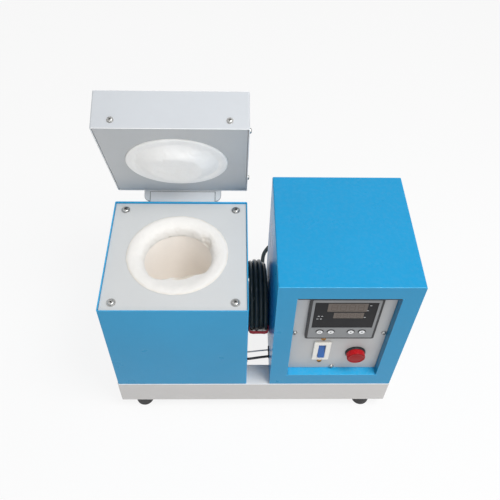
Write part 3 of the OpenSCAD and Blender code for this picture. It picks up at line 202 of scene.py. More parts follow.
class Effects:
    """Shader node groups that several finishes share, each made once."""

    GREY = ("NodeSocketColor", (0.5, 0.5, 0.5, 1))
    DUST = (0.62, 0.60, 0.56, 1)
    STRANDS = ((0.5, (1.0, 0.16, 1.0)), (1.9, (0.2, 1.0, 0.6)), (2.7, (1.0, 0.5, 0.18)))

    @staticmethod
    def _start(name: str, inputs: dict[str, tuple[str, object]],
               outputs: dict[str, str]) -> tuple[Sketch, Node, Node]:
        """Makes an empty group with its sockets.

        Args:
            name: Name of the group.
            inputs: Socket type and first value of each input.
            outputs: Socket type of each output.

        Returns:
            The group's sketch, and its input and output nodes.
        """
        tree = bpy.data.node_groups.new(name, "ShaderNodeTree")
        for label, (kind, value) in inputs.items():
            tree.interface.new_socket(label, in_out="INPUT", socket_type=kind).default_value = value
        for label, kind in outputs.items():
            tree.interface.new_socket(label, in_out="OUTPUT", socket_type=kind)
        sketch = Sketch(tree)
        return sketch, sketch.add("NodeGroupInput"), sketch.add("NodeGroupOutput")

    @classmethod
    @cache
    def tone(cls) -> NodeTree:
        """Makes the group that clouds a colour a little, at a large and a small scale.

        Returns:
            The group.
        """
        sketch, start, end = cls._start(
            "tone_clouds", {"Color": cls.GREY, "Amount": ("NodeSocketFloat", 0.05)},
            {"Color": "NodeSocketColor"})
        where = sketch.add("ShaderNodeTexCoord").outputs["Object"]
        broad = sketch.noise(where, size_mm=70, detail=2)
        close = sketch.noise(where, size_mm=9, detail=4)
        both = sketch.blend(broad, 0.65, close, 0.35)
        spread = sketch.math("MULTIPLY", sketch.math("SUBTRACT", both, 0.5), start.outputs["Amount"])
        value = sketch.add("ShaderNodeMath", {0: spread, 1: 4.0, 2: 1.0}, operation="MULTIPLY_ADD")
        shaded = sketch.add("ShaderNodeHueSaturation",
                            {"Color": start.outputs["Color"], "Value": value.outputs[0]})
        sketch.join(shaded.outputs[0], end.inputs["Color"])
        return sketch.tree

    @classmethod
    @cache
    def dust(cls) -> NodeTree:
        """Makes the group that lays pale dust on faces that look up.

        Returns:
            The group.
        """
        sketch, start, end = cls._start(
            "settled_dust", {"Color": cls.GREY, "Amount": ("NodeSocketFloat", 0.1)},
            {"Color": "NodeSocketColor", "Mask": "NodeSocketFloat"})
        coords = sketch.add("ShaderNodeTexCoord")
        up = sketch.add("ShaderNodeSeparateXYZ", {0: coords.outputs["Normal"]}).outputs["Z"]
        facing = sketch.remap(up, 0.3, 0.95)
        specks = sketch.remap(sketch.noise(coords.outputs["Object"], size_mm=5, detail=6), 0.42, 0.68)
        mask = sketch.math("MULTIPLY", sketch.math("MULTIPLY", facing, specks), start.outputs["Amount"])
        sketch.join(sketch.mix(mask, start.outputs["Color"], cls.DUST), end.inputs["Color"])
        sketch.join(mask, end.inputs["Mask"])
        return sketch.tree

    @classmethod
    @cache
    def peel(cls) -> NodeTree:
        """Makes the group for the fine ripple of sprayed paint and moulded plastic.

        Returns:
            The group.
        """
        sketch, start, end = cls._start("spray_ripple", {"Grain": ("NodeSocketFloat", 600.0)},
                                        {"Height": "NodeSocketFloat", "Gloss": "NodeSocketFloat"})
        where = sketch.add("ShaderNodeTexCoord").outputs["Object"]
        fine = sketch.add("ShaderNodeTexNoise", {
            "Vector": where, "Scale": start.outputs["Grain"], "Detail": 2.0})
        sketch.join(fine.outputs[0], end.inputs["Height"])
        sketch.join(sketch.noise(where, size_mm=38, detail=5), end.inputs["Gloss"])
        return sketch.tree

    @classmethod
    @cache
    def wool(cls) -> NodeTree:
        """Makes the group for felted ceramic fibre: strands, clumps and pits.

        Returns:
            The group.
        """
        sketch, start, end = cls._start("fibre_wool", {"Strand": ("NodeSocketFloat", 420.0)},
                                        {"Height": "NodeSocketFloat", "Shade": "NodeSocketFloat"})
        where = sketch.add("ShaderNodeTexCoord").outputs["Object"]
        strands = []
        for turn, stretch in cls.STRANDS:
            laid = sketch.add("ShaderNodeMapping", {
                "Vector": where, "Rotation": (turn, turn * 0.6, turn * 1.7), "Scale": stretch})
            strands.append(sketch.add("ShaderNodeTexNoise", {
                "Vector": laid.outputs[0], "Scale": start.outputs["Strand"], "Detail": 4.0,
                "Distortion": 1.2}).outputs[0])
        felt = sketch.math("MAXIMUM", sketch.math("MAXIMUM", strands[0], strands[1]), strands[2])
        height = sketch.blend(felt, 0.6, sketch.noise(where, size_mm=7, detail=4), 0.5)
        sketch.join(height, end.inputs["Height"])
        sketch.join(sketch.remap(height, 0.4, 0.72), end.inputs["Shade"])
        return sketch.tree

    @classmethod
    @cache
    def streaks(cls) -> NodeTree:
        """Makes the group for the drawn or turned marks of bare metal.

        Returns:
            The group.
        """
        sketch, start, end = cls._start("drawn_streaks", {"Length": ("NodeSocketFloat", 0.05)},
                                        {"Value": "NodeSocketFloat"})
        where = sketch.add("ShaderNodeTexCoord").outputs["Object"]
        parts = sketch.add("ShaderNodeSeparateXYZ", {0: where}).outputs
        drawn = sketch.math("MULTIPLY", parts["X"], start.outputs["Length"])
        laid = sketch.add("ShaderNodeCombineXYZ", {"X": drawn, "Y": parts["Y"], "Z": parts["Z"]})
        sketch.join(sketch.noise(laid.outputs[0], size_mm=0.7, detail=4), end.inputs["Value"])
        return sketch.tree


# Finishes


@dataclass(frozen=True)
class Finish:
    """A surface finish: its colour, its gloss and how far they vary.

    Attributes:
        name: Name of the material.
        colour: Linear base colour.
        roughness: Mean roughness.
        tone: How far the colour clouds.
        dust: How much dust lies on faces that look up.
        ripple: Height of the surface ripple in millimetres.
        grain_mm: Size of the ripple.
        specular: Specular level.
        metallic: Whether the base is bare metal.
    """

    name: str
    colour: Colour
    roughness: float = 0.5
    tone: float = 0.04
    dust: float = 0.0
    ripple: float = 0.02
    grain_mm: float = 1.6
    specular: float = 0.5
    metallic: bool = False

    def colour_of(self, sketch: Sketch) -> Socket:
        """Gives the varied base colour.

        Args:
            sketch: Tree of the material.

        Returns:
            The colour.
        """
        toned = sketch.group(Effects.tone(), color=(*self.colour, 1), amount=self.tone).outputs[0]
        if self.dust <= 0:
            return toned
        return sketch.group(Effects.dust(), color=toned, amount=self.dust).outputs["Color"]

    def relief_of(self, sketch: Sketch) -> tuple[Socket, Socket]:
        """Gives the relief's height and the value that varies the gloss."""
        fine = sketch.group(Effects.peel(), grain=1 / (self.grain_mm * MM))
        return fine.outputs["Height"], fine.outputs["Gloss"]

    def material(self) -> bpy.types.Material:
        """Builds the material once and gives it.

        Returns:
            The material of this finish.
        """
        made = bpy.data.materials.get(self.name)
        if made:
            return made
        made = bpy.data.materials.new(self.name)
        made.use_nodes = True
        sketch = Sketch(made.node_tree)
        height, gloss = self.relief_of(sketch)
        polished, dull = max(self.roughness * 0.85, 0.02), min(self.roughness * 1.15, 1.0)
        rough = sketch.remap(gloss, 0.3, 0.7, polished, dull)
        bump = sketch.add("ShaderNodeBump", {
            "Height": height, "Strength": 0.6, "Distance": self.ripple * MM})
        shader = sketch.add("ShaderNodeBsdfPrincipled", {
            "Base Color": self.colour_of(sketch), "Roughness": rough, "Normal": bump.outputs[0],
            "Metallic": float(self.metallic), "Specular IOR Level": self.specular})
        self.finish_shader(shader)
        end = sketch.add("ShaderNodeOutputMaterial")
        sketch.join(shader.outputs[0], end.inputs[0])
        return made

    def finish_shader(self, shader: Node) -> None:
        """Sets what only one kind of finish has; plain finishes have nothing more."""


@dataclass(frozen=True)
class BareMetal(Finish):
    """Zinc-plated steel, brass or aluminium with drawn marks."""

    streak: float = 0.05

    def relief_of(self, sketch: Sketch) -> tuple[Socket, Socket]:
        """Gives the drawn marks as relief and as gloss."""
        marks = sketch.group(Effects.streaks(), length=self.streak).outputs[0]
        return marks, marks


@dataclass(frozen=True)
class FibreWool(Finish):
    """White ceramic fibre, felted, with a scorched tint where the mesh says so."""

    strand_mm: float = 2.4
    # The darker colour in the felt's pits is painted shade.
    pit_shade: Colour = (0.50, 0.48, 0.44)
    pit_shade_share: float = 0.06
    scorch: Colour = (0.62, 0.50, 0.34)
    sheen: float = 0.15
    sheen_roughness: float = 0.6

    def felt(self, sketch: Sketch) -> Node:
        """Places the felt's group."""
        return sketch.group(Effects.wool(), strand=1 / (self.strand_mm * MM))

    def relief_of(self, sketch: Sketch) -> tuple[Socket, Socket]:
        """Gives the felt's relief and its shade."""
        wool = self.felt(sketch)
        return wool.outputs["Height"], wool.outputs["Shade"]

    def colour_of(self, sketch: Sketch) -> Socket:
        """Gives white wool that is darker in its pits, which is painted shade, and tinted where it was
        heated.

        Args:
            sketch: Tree of the material.

        Returns:
            The colour.
        """
        toned = super().colour_of(sketch)
        deep = sketch.remap(self.felt(sketch).outputs["Shade"], 0.0, 1.0, self.pit_shade_share, 0.0)
        pits = sketch.mix(deep, toned, (*self.pit_shade, 1))
        burnt = sketch.add("ShaderNodeAttribute", attribute_name="scorch").outputs["Fac"]
        return sketch.mix(burnt, pits, (*self.scorch, 1))

    def finish_shader(self, shader: Node) -> None:
        """Gives the wool its soft sheen."""
        shader.inputs["Sheen Weight"].default_value = self.sheen
        shader.inputs["Sheen Roughness"].default_value = self.sheen_roughness


@dataclass(frozen=True)
class ClearRed(Finish):
    """Red lens plastic that lets some light in."""

    scatter: float = 0.08
    scatter_m: Colour = (0.004, 0.0006, 0.0006)

    def finish_shader(self, shader: Node) -> None:
        """Lets light scatter inside the lens."""
        shader.inputs["Subsurface Weight"].default_value = self.scatter
        shader.inputs["Subsurface Radius"].default_value = self.scatter_m
        shader.inputs["Subsurface Scale"].default_value = 1.0


class Look(Enum):
    """The finishes of the furnace: name, colour, roughness, tone, dust, ripple, grain and specular."""

    BLUE = Finish("blue_enamel", (0.010, 0.318, 0.628), 0.30, 0.035, 0.02, 0.02, 2.6, 0.23)
    # A lighter, glossier blue on the broken edges of the folds: a painted highlight.
    BLUE_FOLD = Finish("blue_enamel_fold", (0.070, 0.500, 0.840), 0.20, 0.06, 0.0, 0.02, 2.6, 0.45)
    # A darker copy of the blue for faces that look ahead: painted shade.
    BLUE_FRONT = Finish("blue_enamel_front", (0.024, 0.288, 0.536), 0.32, 0.035, 0.02, 0.02, 2.6, 0.23)
    # A still darker blue for the return inside the opening that looks left: painted shade.
    BLUE_SHADE = Finish("blue_enamel_return", (0.006, 0.200, 0.390), 0.34, 0.035, 0.02, 0.02, 2.6, 0.18)
    # A lighter blue for the sill of the opening: painted light.
    BLUE_SILL = Finish("blue_enamel_sill", (0.030, 0.460, 0.840), 0.30, 0.035, 0.05, 0.02, 2.6, 0.30)
    GREY = Finish("pale_grey_enamel", (0.658, 0.674, 0.680), 0.36, 0.02, 0.02, 0.03, 1.8, 0.35)
    # A near-white grey on the broken edges of the folds and on the tray's edge strip: a painted highlight.
    GREY_FOLD = Finish("pale_grey_fold", (0.930, 0.940, 0.945), 0.30, 0.03, 0.0, 0.02, 1.8, 0.45)
    LID = Finish("lid_enamel", (0.590, 0.618, 0.652), 0.36, 0.02, 0.02, 0.03, 1.8, 0.35)
    LID_FACE = Finish("lid_face_enamel", (0.550, 0.566, 0.578), 0.40, 0.02, 0.0, 0.03, 1.8, 0.30)
    TRAY = Finish("grey_tray_enamel", (0.610, 0.592, 0.578), 0.36, 0.025, 0.03, 0.03, 1.8, 0.35)
    # A much paler copy of the tray grey for the deck between the boxes: painted light in the gap's shade.
    DECK = Finish("grey_deck_enamel", (0.900, 0.885, 0.865), 0.36, 0.025, 0.03, 0.03, 1.8, 0.35)
    PANEL = Finish("panel_grey_enamel", (0.520, 0.520, 0.520), 0.40, 0.02, 0.0, 0.03, 1.6, 0.30)
    # A near-white grey that stands in for light the strap would catch in the lid's shade: painted light.
    STRAP = Finish("hinge_strap_enamel", (0.940, 0.950, 0.955), 0.34, 0.02, 0.0, 0.03, 1.8, 0.40)
    # A dark grey on the strap's broken edges: painted shade lines along the rib and under the lid's edge.
    STRAP_EDGE = Finish("hinge_strap_edge", (0.260, 0.265, 0.270), 0.40, 0.04, 0.0, 0.03, 1.8, 0.30)
    ZINC = BareMetal("zinc_plated_steel", (0.44, 0.44, 0.43), 0.32, 0.12, 0.02, 0.01, metallic=True)
    BRASS = BareMetal("brass_screw", (0.42, 0.22, 0.08), 0.34, 0.14, 0.0, 0.01, metallic=True)
    ALUMINIUM = BareMetal("heat_sink_aluminium", (0.70, 0.71, 0.72), 0.38, 0.04, 0.05, 0.01, metallic=True)
    WIRE = BareMetal("oxidised_heating_wire", (0.20, 0.19, 0.18), 0.6, 0.12, 0.0, 0.02, metallic=True)
    RUBBER = Finish("black_foot_rubber", (0.028, 0.027, 0.028), 0.78, 0.10, 0.12, 0.05, 1.0)
    WOOL = FibreWool("ceramic_fibre", (0.975, 0.972, 0.960), 0.95, 0.02, 0.0, 0.45)
    USED_WOOL = FibreWool("heated_ceramic_fibre", (0.886, 0.867, 0.836), 0.95, 0.02, 0.0, 0.45)
    BOARD = FibreWool("fibre_board", (0.78, 0.76, 0.71), 0.95, 0.06, 0.0, 0.3)
    # A near-black finish for the strip along the top of the control box's opening: a painted shadow.
    SEAL = Finish("dark_edge_seal", (0.020, 0.022, 0.026), 0.60, 0.10, 0.0, 0.02, 1.0, 0.20)
    PORCELAIN = Finish("cream_porcelain", (0.988, 0.938, 0.880), 0.5, 0.03, 0.0, 0.05, 4.0, 0.3)
    FIRECLAY = Finish("fired_clay", (0.66, 0.52, 0.38), 0.9, 0.10, 0.0, 0.12, 2.0)
    CERAMIC = Finish("terminal_ceramic", (0.80, 0.79, 0.75), 0.35, 0.03, 0.0, 0.02, 3.0)
    BLACK = Finish("moulded_black", (0.022, 0.022, 0.024), 0.42, 0.10, 0.0, 0.03, 0.5, 0.35)
    FILM = Finish("controller_grey_film", (0.260, 0.268, 0.276), 0.50, 0.05, 0.0, 0.02, 0.6, 0.25)
    WINDOW = Finish("dark_window", (0.020, 0.020, 0.022), 0.40, 0.12, 0.0, 0.004, 6.0, 0.10)
    DISPLAY = Finish("unlit_display", (0.150, 0.125, 0.108), 0.40, 0.06, 0.0, 0.004, 6.0, 0.20)
    SEGMENT = Finish("unlit_segment", (0.105, 0.082, 0.070), 0.40, 0.05, 0.0, 0.004, 6.0, 0.20)
    KEY = Finish("pale_key_plastic", (0.80, 0.81, 0.82), 0.45, 0.03, 0.0, 0.02, 0.6)
    INK = Finish("printed_sign_ink", (0.035, 0.035, 0.04), 0.5, 0.06, 0.0, 0.01, 0.5)
    WHITE = Finish("white_switch_plastic", (0.83, 0.81, 0.76), 0.28, 0.03, 0.0, 0.01, 2.0)
    ROCKER = Finish("blue_rocker_plastic", (0.030, 0.125, 0.400), 0.30, 0.05, 0.0, 0.01, 1.0, 0.35)
    # A lighter red on the lens's side is painted light; the darker red on its front faces is painted shade.
    LENS = ClearRed("clear_red_lens", (0.540, 0.010, 0.016), 0.24, 0.06, 0.0, 0.01, 1.6, 0.20)
    LENS_FACE = ClearRed("clear_red_face", (0.310, 0.004, 0.006), 0.30, 0.06, 0.0, 0.01, 1.6, 0.14)
    RELAY = Finish("relay_case", (0.50, 0.49, 0.45), 0.5, 0.05, 0.0, 0.02, 0.8)
    LEAD = Finish("dark_lead_rubber", (0.045, 0.042, 0.042), 0.6, 0.08, 0.05, 0.03, 0.7)
    SLEEVE = Finish("pale_braid_sleeve", (0.72, 0.70, 0.66), 0.75, 0.10, 0.0, 0.08, 0.5)
    CORD = Finish("black_cord_pvc", (0.040, 0.058, 0.059), 0.22, 0.10, 0.02, 0.02, 1.2, 0.28)
    TIE = Finish("red_tie_tape", (0.74, 0.030, 0.050), 0.50, 0.12, 0.0, 0.04, 0.8)

    def material(self) -> bpy.types.Material:
        """Gives the finish's material."""
        return self.value.material()


# Meshes


def linked(name: str, data: bpy.types.ID) -> Piece:
    """Makes an object and puts it into the scene.

    Args:
        name: Name of the object.
        data: Its mesh, curve, lamp or camera.

    Returns:
        The new object.
    """
    made = bpy.data.objects.new(name, data)
    bpy.context.scene.collection.objects.link(made)
    return made


def shade_smooth(mesh: Mesh, sharp_deg: float) -> None:
    """Shades a mesh smooth, apart from edges past an angle."""
    mesh.polygons.foreach_set("use_smooth", [True] * len(mesh.polygons))
    mesh.set_sharp_from_angle(angle=math.radians(sharp_deg))


def new_piece(name: str, mesh: Mesh, looks: Sequence[Look], sharp_deg: float = 35.0) -> Piece:
    """Puts a mesh into the scene as a piece.

    Args:
        name: Name of the piece.
        mesh: Its mesh, in the row frame.
        looks: Finishes in the order of the mesh's material numbers.
        sharp_deg: Angle past which an edge stays sharp.

    Returns:
        The new object.
    """
    mesh.name = name
    if mesh.materials:
        mesh.materials.clear()
    for look in looks:
        mesh.materials.append(look.material())
    shade_smooth(mesh, sharp_deg)
    return linked(name, mesh)


def settle(piece: Piece, body: str, slot: str, *nodes: str) -> Piece:
    """Puts a finished piece on its body and in the place of CAD nodes.

    Args:
        piece: The finished piece.
        body: Body that it moves with.
        slot: Not used.
        nodes: CAD nodes that it stands for.

    Returns:
        The same piece.
    """
    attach(piece, body)
    if nodes:
        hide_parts(*nodes)
    LOG.info("%s rides on %s", piece.name, body)
    return piece


def shown_mesh(holder: Piece) -> Mesh:
    """Gives a new mesh of an object as its modifiers or curve settings show it."""
    return bpy.data.meshes.new_from_object(holder.evaluated_get(bpy.context.evaluated_depsgraph_get()))


def frozen(piece: Piece) -> Piece:
    """Turns a piece with live modifiers into one plain mesh.

    Args:
        piece: Object with modifiers.

    Returns:
        The same object, without modifiers.
    """
    mesh = shown_mesh(piece)
    piece.modifiers.clear()
    piece.data = mesh
    return piece


def as_mesh(work: bmesh.types.BMesh, name: str) -> Mesh:
    """Turns finished work into a mesh.

    Args:
        work: The work, which is freed.
        name: Name of the mesh.

    Returns:
        The mesh.
    """
    mesh = bpy.data.meshes.new(name)
    work.to_mesh(mesh)
    work.free()
    return mesh


def closed_mesh(work: bmesh.types.BMesh, name: str) -> Mesh:
    """Turns the faces of finished work outward and makes it a mesh."""
    bmesh.ops.recalc_face_normals(work, faces=work.faces)
    return as_mesh(work, name)


def softened(node: str, look: Look, width_mm: float = 0.4, segments: int = 2,
             fold: Optional[Look] = None) -> Piece:
    """Copies a CAD node with its edges broken.

    Args:
        node: The CAD node.
        look: Finish of the copy.
        width_mm: Width of the broken edges.
        segments: Steps across a broken edge.
        fold: Finish of the broken edges: a lighter copy that paints a highlight on the folds, or a darker
            one that paints shade.

    Returns:
        The copy, not yet settled on a body.
    """
    flat_deg, edge_deg, unsplit_deg = 0.4, 40, 180
    work = bmesh.new()
    work.from_mesh(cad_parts[node].data)
    bmesh.ops.remove_doubles(work, verts=work.verts, dist=WELD_MM * MM)
    bmesh.ops.dissolve_limit(work, angle_limit=math.radians(flat_deg), verts=work.verts, edges=work.edges)
    looks = [look, fold] if fold else [look]
    piece = new_piece(f"{node}_dressed", as_mesh(work, node), looks, unsplit_deg)
    bevel = piece.modifiers.new("edges", "BEVEL")
    bevel.width = width_mm * MM
    bevel.segments = segments
    bevel.limit_method = "ANGLE"
    bevel.angle_limit = math.radians(edge_deg)
    bevel.use_clamp_overlap = False
    bevel.loop_slide = False
    # The broken edges take the fold finish, a painted highlight or a painted shade.
    bevel.material = 1 if fold else -1
    flat = piece.modifiers.new("flat_faces", "WEIGHTED_NORMAL")
    flat.weight = 100
    return frozen(piece)


def dressed(node: str, look: Look, slot: str, width_mm: float = 0.4, segments: int = 2,
            body: str = "base") -> Piece:
    """Copies a CAD node with its edges broken and settles the copy in its place.

    Args:
        node: The CAD node.
        look: Finish of the copy.
        slot: Material slot of the record.
        width_mm: Width of the broken edges.
        segments: Steps across a broken edge.
        body: Body that it moves with.

    Returns:
        The settled copy.
    """
    return settle(softened(node, look, width_mm, segments), body, slot, node)


def paint_faces(piece: Piece, look: Look, facing: Facing, where: float) -> None:
    """Gives the flat faces of a piece that lie in one plane another finish.

    Args:
        piece: The piece.
        look: Finish of the faces.
        facing: Way that the faces look.
        where: Place of the plane on the bench in millimetres.
    """
    straight, near_mm = 0.9, 0.3
    axis, sign = facing.value
    piece.data.materials.append(look.material())
    for face in piece.data.polygons:
        away = abs(Bench.millimetres(face.center)[axis] - where)
        if face.normal[axis] * sign > straight and away < near_mm:
            face.material_index = len(piece.data.materials) - 1


def bridge(work: bmesh.types.BMesh, near: Sequence[Vert], far: Sequence[Vert], mark: int = 0) -> None:
    """Joins two rings, or a ring and a pole, with faces.

    Args:
        work: Mesh at work.
        near: First ring.
        far: Second ring.
        mark: Material number of the faces.
    """
    sides = max(len(near), len(far))
    for step in range(sides):
        after = (step + 1) % sides
        corners = [near[step % len(near)], near[after % len(near)],
                   far[after % len(far)], far[step % len(far)]]
        work.faces.new(list(dict.fromkeys(corners))).material_index = mark


def lathe(profile: Profile, place: Matrix, sides: int, wobble: Optional[Wobble] = None,
          marks: Optional[Callable[[int], int]] = None) -> Mesh:
    """Turns a profile round the local Z axis into a closed mesh.

    Args:
        profile: Radius and height of each point, in millimetres, from the first pole or ring to the last.
        place: Matrix from local millimetres to the row frame.
        sides: Steps round the axis.
        wobble: Change of radius and height at an angle, a radius and a height.
        marks: Material number of the band after each profile point.

    Returns:
        The mesh.
    """
    work = bmesh.new()
    rings: list[list[Vert]] = []
    for radius, height in profile:
        ring = []
        for step in range(1 if radius == 0 else sides):
            angle = FULL_TURN * step / sides
            grow, lift = wobble(angle, radius, height) if wobble else (0.0, 0.0)
            reach = radius + (grow if radius else 0)
            spot = Vector((reach * math.cos(angle), reach * math.sin(angle), height + lift))
            ring.append(work.verts.new(place @ spot))
        rings.append(ring)
    pairs = list(zip(rings, rings[1:]))
    if len(rings[0]) > 1 and len(rings[-1]) > 1:
        pairs.append((rings[-1], rings[0]))
    for index, (low, high) in enumerate(pairs):
        bridge(work, low, high, marks(index) if marks else 0)
    return closed_mesh(work, "turned")


def outline_plate(outlines: Sequence[Profile], thick_mm: float, place: Matrix) -> Mesh:
    """Makes a flat plate with holes from closed outlines.

    Args:
        outlines: Closed outlines in millimetres; an outline inside another is a hole.
        thick_mm: Thickness of the plate along local Z.
        place: Matrix from local millimetres to the row frame.

    Returns:
        The mesh.
    """
    curve = bpy.data.curves.new("outline", "CURVE")
    curve.dimensions = "2D"
    curve.fill_mode = "BOTH"
    curve.extrude = thick_mm / 2
    for points in outlines:
        spline = curve.splines.new("POLY")
        spline.points.add(len(points) - 1)
        for target, (x, y) in zip(spline.points, points):
            target.co = (x, y, 0, 1)
        spline.use_cyclic_u = True
    holder = linked("outline", curve)
    mesh = shown_mesh(holder)
    bpy.data.objects.remove(holder)
    work = bmesh.new()
    work.from_mesh(mesh)
    bmesh.ops.remove_doubles(work, verts=work.verts, dist=0.001)
    bmesh.ops.recalc_face_normals(work, faces=work.faces)
    work.to_mesh(mesh)
    work.free()
    mesh.transform(place)
    return mesh


def arc(x: float, y: float, r: float, start: float, end: float, steps: int) -> list[Flat]:
    """Gives an arc round a middle point.

    Args:
        x: Middle across.
        y: Middle upward.
        r: Radius.
        start: Angle of the first point.
        end: Angle of the last point.
        steps: Steps along the arc.

    Returns:
        The points, both ends among them.
    """
    angles = [start + (end - start) * step / steps for step in range(steps + 1)]
    return [(x + r * math.cos(angle), y + r * math.sin(angle)) for angle in angles]


def ring_outline(r: float, corners: int, x: float = 0.0, y: float = 0.0, turn: float = 0.0) -> list[Flat]:
    """Gives a regular outline round a middle point, its first corner turned by an angle."""
    return arc(x, y, r, turn, turn + FULL_TURN, corners)[:-1]


def rounded_outline(w: float, h: float, r: float, x: float = 0.0, y: float = 0.0) -> list[Flat]:
    """Gives a rounded rectangle round a middle point.

    Args:
        w: Width.
        h: Height.
        r: Radius of the corners.
        x: Middle across.
        y: Middle upward.

    Returns:
        The outline.
    """
    corner_steps = 6
    points: list[Flat] = []
    for quarter, (sx, sy) in enumerate(((1, 1), (-1, 1), (-1, -1), (1, -1))):
        start = math.pi / 2 * quarter
        mid_x, mid_y = x + sx * (w / 2 - r), y + sy * (h / 2 - r)
        points += arc(mid_x, mid_y, r, start, start + math.pi / 2, corner_steps)
    return points


def smooth_path(points: Sequence[Vector], count: Callable[[float], int]) -> list[Vector]:
    """Runs a smooth line through points.

    Args:
        points: The points, in millimetres.
        count: Number of steps on a stretch of a given length.

    Returns:
        Points along the line, close together.
    """
    padded = [2 * points[0] - points[1], *points, 2 * points[-1] - points[-2]]
    line: list[Vector] = []
    for a, b, c, d in zip(padded, padded[1:], padded[2:], padded[3:]):
        steps = count((c - b).length)
        for step in range(steps):
            t = step / steps
            line.append(0.5 * (2 * b + (c - a) * t + (2 * a - 5 * b + 4 * c - d) * t * t
                               + (3 * b - a - 3 * c + d) * t ** 3))
    line.append(points[-1].copy())
    return line


def ease(share: float) -> float:
    """Eases a share from 0 to 1 at both ends."""
    share = min(max(share, 0.0), 1.0)
    return share * share * (3 - 2 * share)


def apart(angle: float, at: float) -> float:
    """Gives how far an angle is from another, either way round."""
    return abs(math.remainder(angle - at, FULL_TURN))


def ripple(x: float, y: float, z: float, size: float) -> float:
    """Gives smooth noise of a grain size, between about -1 and 1."""
    return noise.noise(Vector((x, y, z)) / size)


# Repeats


class PlacedCopies:
    """A Geometry Nodes tree that puts one made-up form on every vertex of a mesh of places."""

    def __init__(self, name: str, sizes_mm: dict[str, float]) -> None:
        """Makes the tree with named inputs.

        Args:
            name: Name of the tree.
            sizes_mm: Names and first values of its lengths.
        """
        self.tree = bpy.data.node_groups.new(name, "GeometryNodeTree")
        face = self.tree.interface
        face.new_socket("Places", in_out="INPUT", socket_type="NodeSocketGeometry")
        for label, value in sizes_mm.items():
            face.new_socket(label, in_out="INPUT", socket_type="NodeSocketFloat").default_value = value * MM
        face.new_socket("Spin", in_out="INPUT", socket_type="NodeSocketFloat").default_value = 0.0
        face.new_socket("Seed", in_out="INPUT", socket_type="NodeSocketInt").default_value = 1
        face.new_socket("Material", in_out="INPUT", socket_type="NodeSocketMaterial")
        face.new_socket("Geometry", in_out="OUTPUT", socket_type="NodeSocketGeometry")
        self.sketch = Sketch(self.tree)
        self.start = self.sketch.add("NodeGroupInput")

    def size(self, label: str) -> Socket:
        """Gives a named input."""
        return self.start.outputs[label]

    def share(self, label: str, factor: float) -> Socket:
        """Gives a named input times a factor."""
        return self.sketch.math("MULTIPLY", self.size(label), factor)

    def moved(self, form: Socket, z: Socket) -> Socket:
        """Moves a form along its axis."""
        shift = self.sketch.add("ShaderNodeCombineXYZ", {"Z": z}).outputs[0]
        return self.sketch.add("GeometryNodeTransform", {"Geometry": form, "Translation": shift}).outputs[0]

    def block(self, x: Socket, y: Socket, z: Socket) -> Socket:
        """Adds a block of three lengths round the middle."""
        size = self.sketch.add("ShaderNodeCombineXYZ", {"X": x, "Y": y, "Z": z}).outputs[0]
        return self.sketch.add("GeometryNodeMeshCube", {"Size": size}).outputs[0]

    def disc(self, across: str, thick: str, sides: int) -> Socket:
        """Adds a cylinder of a named diameter and depth round the middle."""
        return self.sketch.add("GeometryNodeMeshCylinder", {
            "Vertices": sides, "Radius": self.share(across, 0.5), "Depth": self.size(thick)}).outputs[0]

    def joined(self, *forms: Socket) -> Socket:
        """Joins forms.

        Args:
            forms: The forms.

        Returns:
            All of them as one.
        """
        node = self.sketch.add("GeometryNodeJoinGeometry")
        for form in forms:
            self.sketch.join(form, node.inputs[0])
        return node.outputs[0]

    def close(self, form: Socket) -> None:
        """Places the form along each place's axis with a seeded spin, and ends the tree.

        Args:
            form: The form that is copied.
        """
        add = self.sketch.add
        axis = add("GeometryNodeInputNamedAttribute", {"Name": "axis"}, data_type="FLOAT_VECTOR")
        along = add("FunctionNodeAlignRotationToVector", {"Vector": axis.outputs[0]}, axis="Z")
        chance = add("FunctionNodeRandomValue", {2: 0.0, 3: self.size("Spin"), "Seed": self.size("Seed")},
                     data_type="FLOAT")
        spin = add("FunctionNodeAxisAngleToRotation", {"Axis": (0, 0, 1), "Angle": chance.outputs[1]})
        turned = add("FunctionNodeRotateRotation", {
            "Rotation": along.outputs[0], "Rotate By": spin.outputs[0]}, rotation_space="LOCAL")
        copies = add("GeometryNodeInstanceOnPoints", {
            "Points": self.size("Places"), "Instance": form, "Rotation": turned.outputs[0]})
        real = add("GeometryNodeRealizeInstances", {"Geometry": copies.outputs[0]})
        painted = add("GeometryNodeSetMaterial", {
            "Geometry": real.outputs[0], "Material": self.size("Material")})
        end = add("NodeGroupOutput")
        self.sketch.join(painted.outputs[0], end.inputs["Geometry"])

    def place(self, name: str, places: Sequence[tuple[Vector, Vector]], look: Look,
              spin: float = 0.0, seed: int = 1, **sizes_mm: float) -> Piece:
        """Makes one mesh of all the copies.

        Args:
            name: Name of the piece.
            places: Point and axis of each copy, in the row frame.
            look: Finish of the copies.
            spin: Largest seeded spin about the axis.
            seed: Seed of the spin.
            sizes_mm: The tree's lengths in millimetres, by input name.

        Returns:
            The piece, a plain mesh, not yet settled on a body.
        """
        sharp_deg = 32
        mesh = bpy.data.meshes.new(name)
        mesh.from_pydata([point for point, _ in places], [], [])
        axes = mesh.attributes.new("axis", "FLOAT_VECTOR", "POINT")
        axes.data.foreach_set("vector", [value for _, axis in places for value in axis])
        piece = linked(name, mesh)
        values: dict[str, object] = {label.replace("_", " ").title(): value * MM
                                     for label, value in sizes_mm.items()}
        values.update({"Spin": spin, "Seed": seed, "Material": look.material()})
        modifier = piece.modifiers.new("copies", "NODES")
        modifier.node_group = self.tree
        for item in self.tree.interface.items_tree:
            if item.in_out == "INPUT" and item.name in values:
                modifier[item.identifier] = values[item.name]
        frozen(piece)
        shade_smooth(piece.data, sharp_deg)
        return piece


